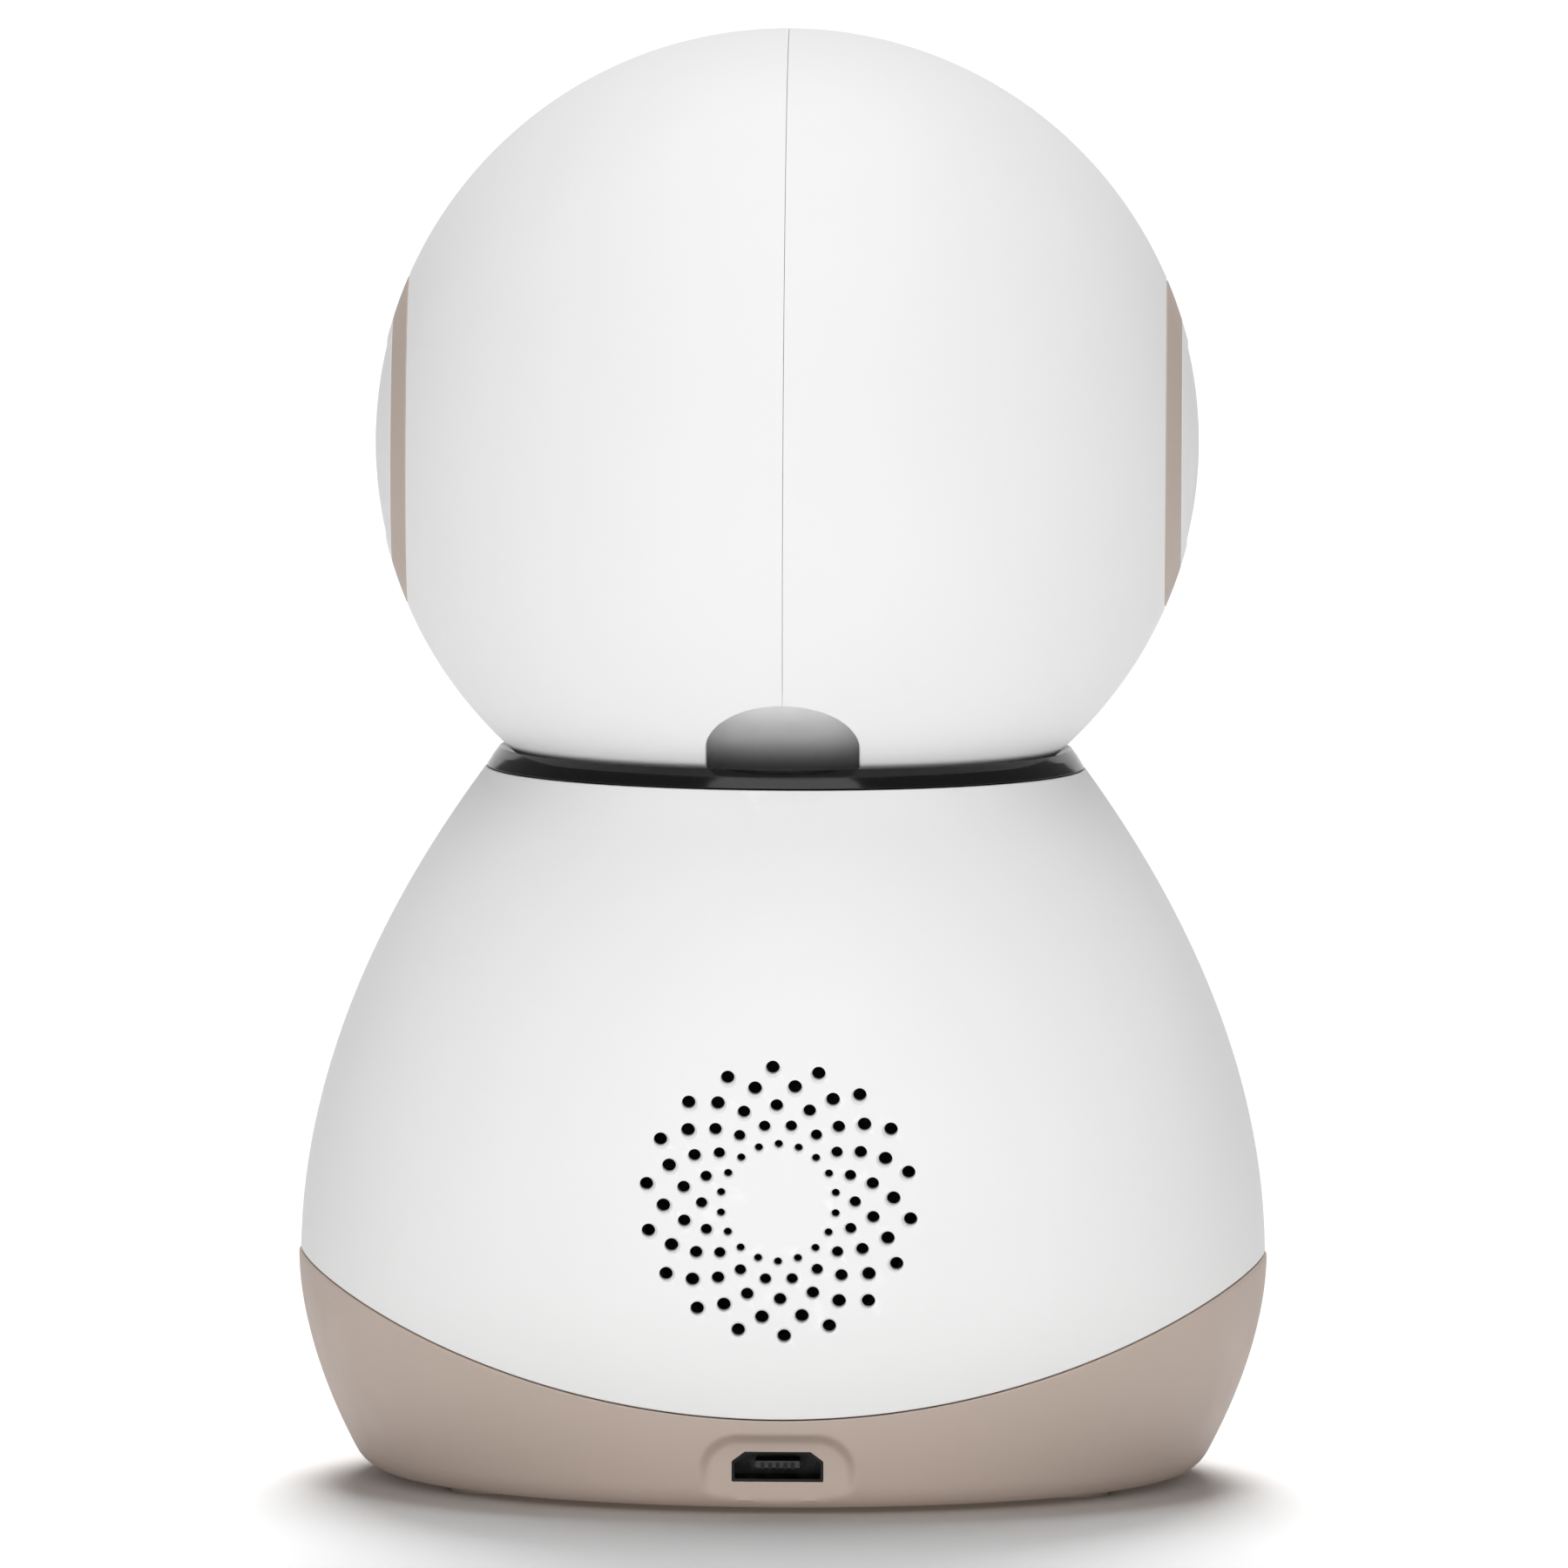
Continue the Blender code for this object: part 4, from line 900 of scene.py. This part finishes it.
def build_face():
    hole_r = LENS_RING_R + 0.08
    rim_r = FACE_R - 0.08
    inside_r = BALL_R - FACE_WALL
    panel = arc(BALL_R, angle_at(rim_r, BALL_R), angle_at(hole_r, BALL_R), 32)
    panel[0] = (*panel[0][:2], 0.15)
    panel[-1] = (*panel[-1][:2], 0.12)
    panel += arc(inside_r, angle_at(hole_r, inside_r), angle_at(rim_r, inside_r), 12)
    face = make_object("face_window", lathe(panel, ALONG_FRONT, CENTRE, FINE))
    finish_piece(face, BLACK, "head", "gloss_black", "face_panel")

    ring = [(LENS_R + 0.1, 33.6, 0), (LENS_RING_R, 33.6, 0), (LENS_RING_R, 35.0, 0.15)]
    ring += [(LENS_RING_R - 0.5, 35.5, 0.15), (LENS_R + 0.25, 35.5, 0.12)]
    ring.append((LENS_R + 0.1, 35.3, 0.05))
    bezel = make_object("lens_bezel", lathe(ring, ALONG_FRONT, CENTRE, 128))
    finish_piece(bezel, STEEL, "head", "steel", "lens_ring")

    barrel = [(0, 24.0, 0), (6.0, 24.0, 0), (6.0, 18.2, 0), (LENS_R, 18.2, 0.2)]
    barrel += [(LENS_R, 36.2, 0.35), (7.7, 36.2, 0.2)]
    for step in range(5):  # stepped baffles stop stray light
        radius = 7.4 - 0.5 * step
        depth = 35.7 - 0.5 * step
        barrel += [(radius, depth, 0), (radius, depth - 0.3, 0)]
    barrel += [(4.8, 33.2, 0), (4.8, 30.0, 0), (0, 30.0, 0)]
    tube = make_object("lens_tube", lathe(barrel, ALONG_FRONT, CENTRE, 128))
    finish_piece(tube, DARK, "head", "dark_plastic", "lens_barrel")

    glass = [(0, 30.3, 0), (4.6, 30.3, 0), (4.6, 32.0, 0.1)]
    crown_r = 9.5
    crown = arc(crown_r, angle_at(4.5, crown_r), 0.0, 16)
    lift = 33.4 - crown_r
    glass += [(r, z + lift, 0) for r, z, _ in crown]
    lens = make_object("front_lens", lathe(glass, ALONG_FRONT, CENTRE, 96))
    finish_piece(lens, GLASS, "head", "glass", "lens_glass")


# ------------------------------------------------------------------- stage


def build_stage():
    bm = bmesh.new()
    bmesh.ops.create_grid(bm, x_segments=1, y_segments=1, size=6000.0)
    floor = make_object("floor", bm)
    s = Shader("pale_floor", (0.93, 0.93, 0.93), 0.7, Specular_IOR_Level=0.2)
    s.tint(s.spread(s.noise(60.0, 3.0), 0.35, 0.7, 0.0, 0.3), (0.90, 0.90, 0.90))
    s.bump(s.noise(0.8, 3.0), 0.01, 0.3)
    floor.data.materials.append(s.material)
    return floor


def receivers(name, floor, state):
    """A light-linking set that includes only the floor, or excludes only the floor."""
    collection = bpy.data.collections.new(name)
    collection.objects.link(floor)
    collection.collection_objects[0].light_linking.link_state = state
    return collection


def soft_light(name, lit, azimuth, elevation, irradiance, spread):
    """A far softbox. Azimuth 0 stands on the +Y side, and the spread is its angular width."""
    light = bpy.data.lights.new(name, "SUN")
    light.energy = irradiance
    light.angle = math.radians(spread)
    obj = bpy.data.objects.new(name, light)
    bpy.context.scene.collection.objects.link(obj)
    out, up = polar(1.0, elevation)
    y, x = polar(out, azimuth)
    obj.rotation_euler = Vector((x, y, up)).to_track_quat("Z", "Y").to_euler()
    obj.light_linking.receiver_collection = lit
    return obj


def bounce_card(lit):
    """A small card under the floor, behind the tub, for the light that a white floor throws up."""
    light = bpy.data.lights.new("bounce_card", "AREA")
    light.shape = "RECTANGLE"
    light.size, light.size_y = 0.12, 0.04
    light.energy = 0.0092
    obj = bpy.data.objects.new("bounce_card", light)
    bpy.context.scene.collection.objects.link(obj)
    obj.location = (0.0, 0.085, -0.022)
    aim = obj.location - Vector((0.0, 0.035, 0.012))
    obj.rotation_euler = aim.to_track_quat("Z", "Y").to_euler()
    obj.light_linking.receiver_collection = lit
    return obj


def build_lights(floor):
    """The object and the floor are lit apart, so that the floor stays white with a soft shadow."""
    world = bpy.data.worlds.new("studio")
    bpy.context.scene.world = world
    world.use_nodes = True
    background = world.node_tree.nodes["Background"]
    background.inputs["Color"].default_value = (1.0, 1.0, 1.0, 1.0)
    background.inputs["Strength"].default_value = 0.18
    subject = receivers("all_but_floor", floor, "EXCLUDE")
    soft_light("high_softbox", subject, 0.0, 46.0, 1.27, 50.0)
    soft_light("top_softbox", subject, 180.0, 80.0, 1.42, 50.0)
    soft_light("front_fill", subject, 180.0, 25.0, 0.55, 60.0)
    level = soft_light("level_softbox", subject, 0.0, -6.0, 0.80, 80.0)
    bounce = bounce_card(subject)
    for low_light in (level, bounce):
        low_light.light_linking.blocker_collection = subject  # the floor lets it through
    ground = receivers("only_floor", floor, "INCLUDE")
    soft_light("floor_wash", ground, 180.0, 40.0, 2.55, 26.0)
    soft_light("floor_top", ground, 180.0, 74.0, 1.31, 24.0)


def build_camera():
    distance = 3.0
    azimuth, elevation, roll = math.radians(-0.6), math.radians(4.6), math.radians(0.3)
    target = Vector((0.00013, 0.0, 0.0602))
    view_height = 0.1364
    camera = bpy.data.cameras.new("camera")
    camera.sensor_width = 36.0
    camera.lens = camera.sensor_width * distance / view_height
    camera.clip_end = 30.0
    obj = bpy.data.objects.new("camera", camera)
    bpy.context.scene.collection.objects.link(obj)
    level = Vector((math.sin(azimuth), math.cos(azimuth), 0.0)) * math.cos(elevation)
    obj.location = target + distance * (level + Vector((0.0, 0.0, math.sin(elevation))))
    aim = (target - obj.location).to_track_quat("-Z", "Y").to_matrix()
    obj.rotation_euler = (aim @ Matrix.Rotation(roll, 3, "Z")).to_euler()
    bpy.context.scene.camera = obj
    bpy.context.scene.view_settings.view_transform = "Standard"


def main():
    paint_cad_nodes()
    build_body_shell()
    build_base_tub()
    build_feet()
    build_button()
    build_socket()
    build_collar()
    for side, suffix in ((-1, "left"), (1, "right")):
        build_head_shell(side, suffix)
        build_ear(side, suffix)
    build_yoke()
    build_face()
    floor = build_stage()
    build_lights(floor)
    build_camera()


main()
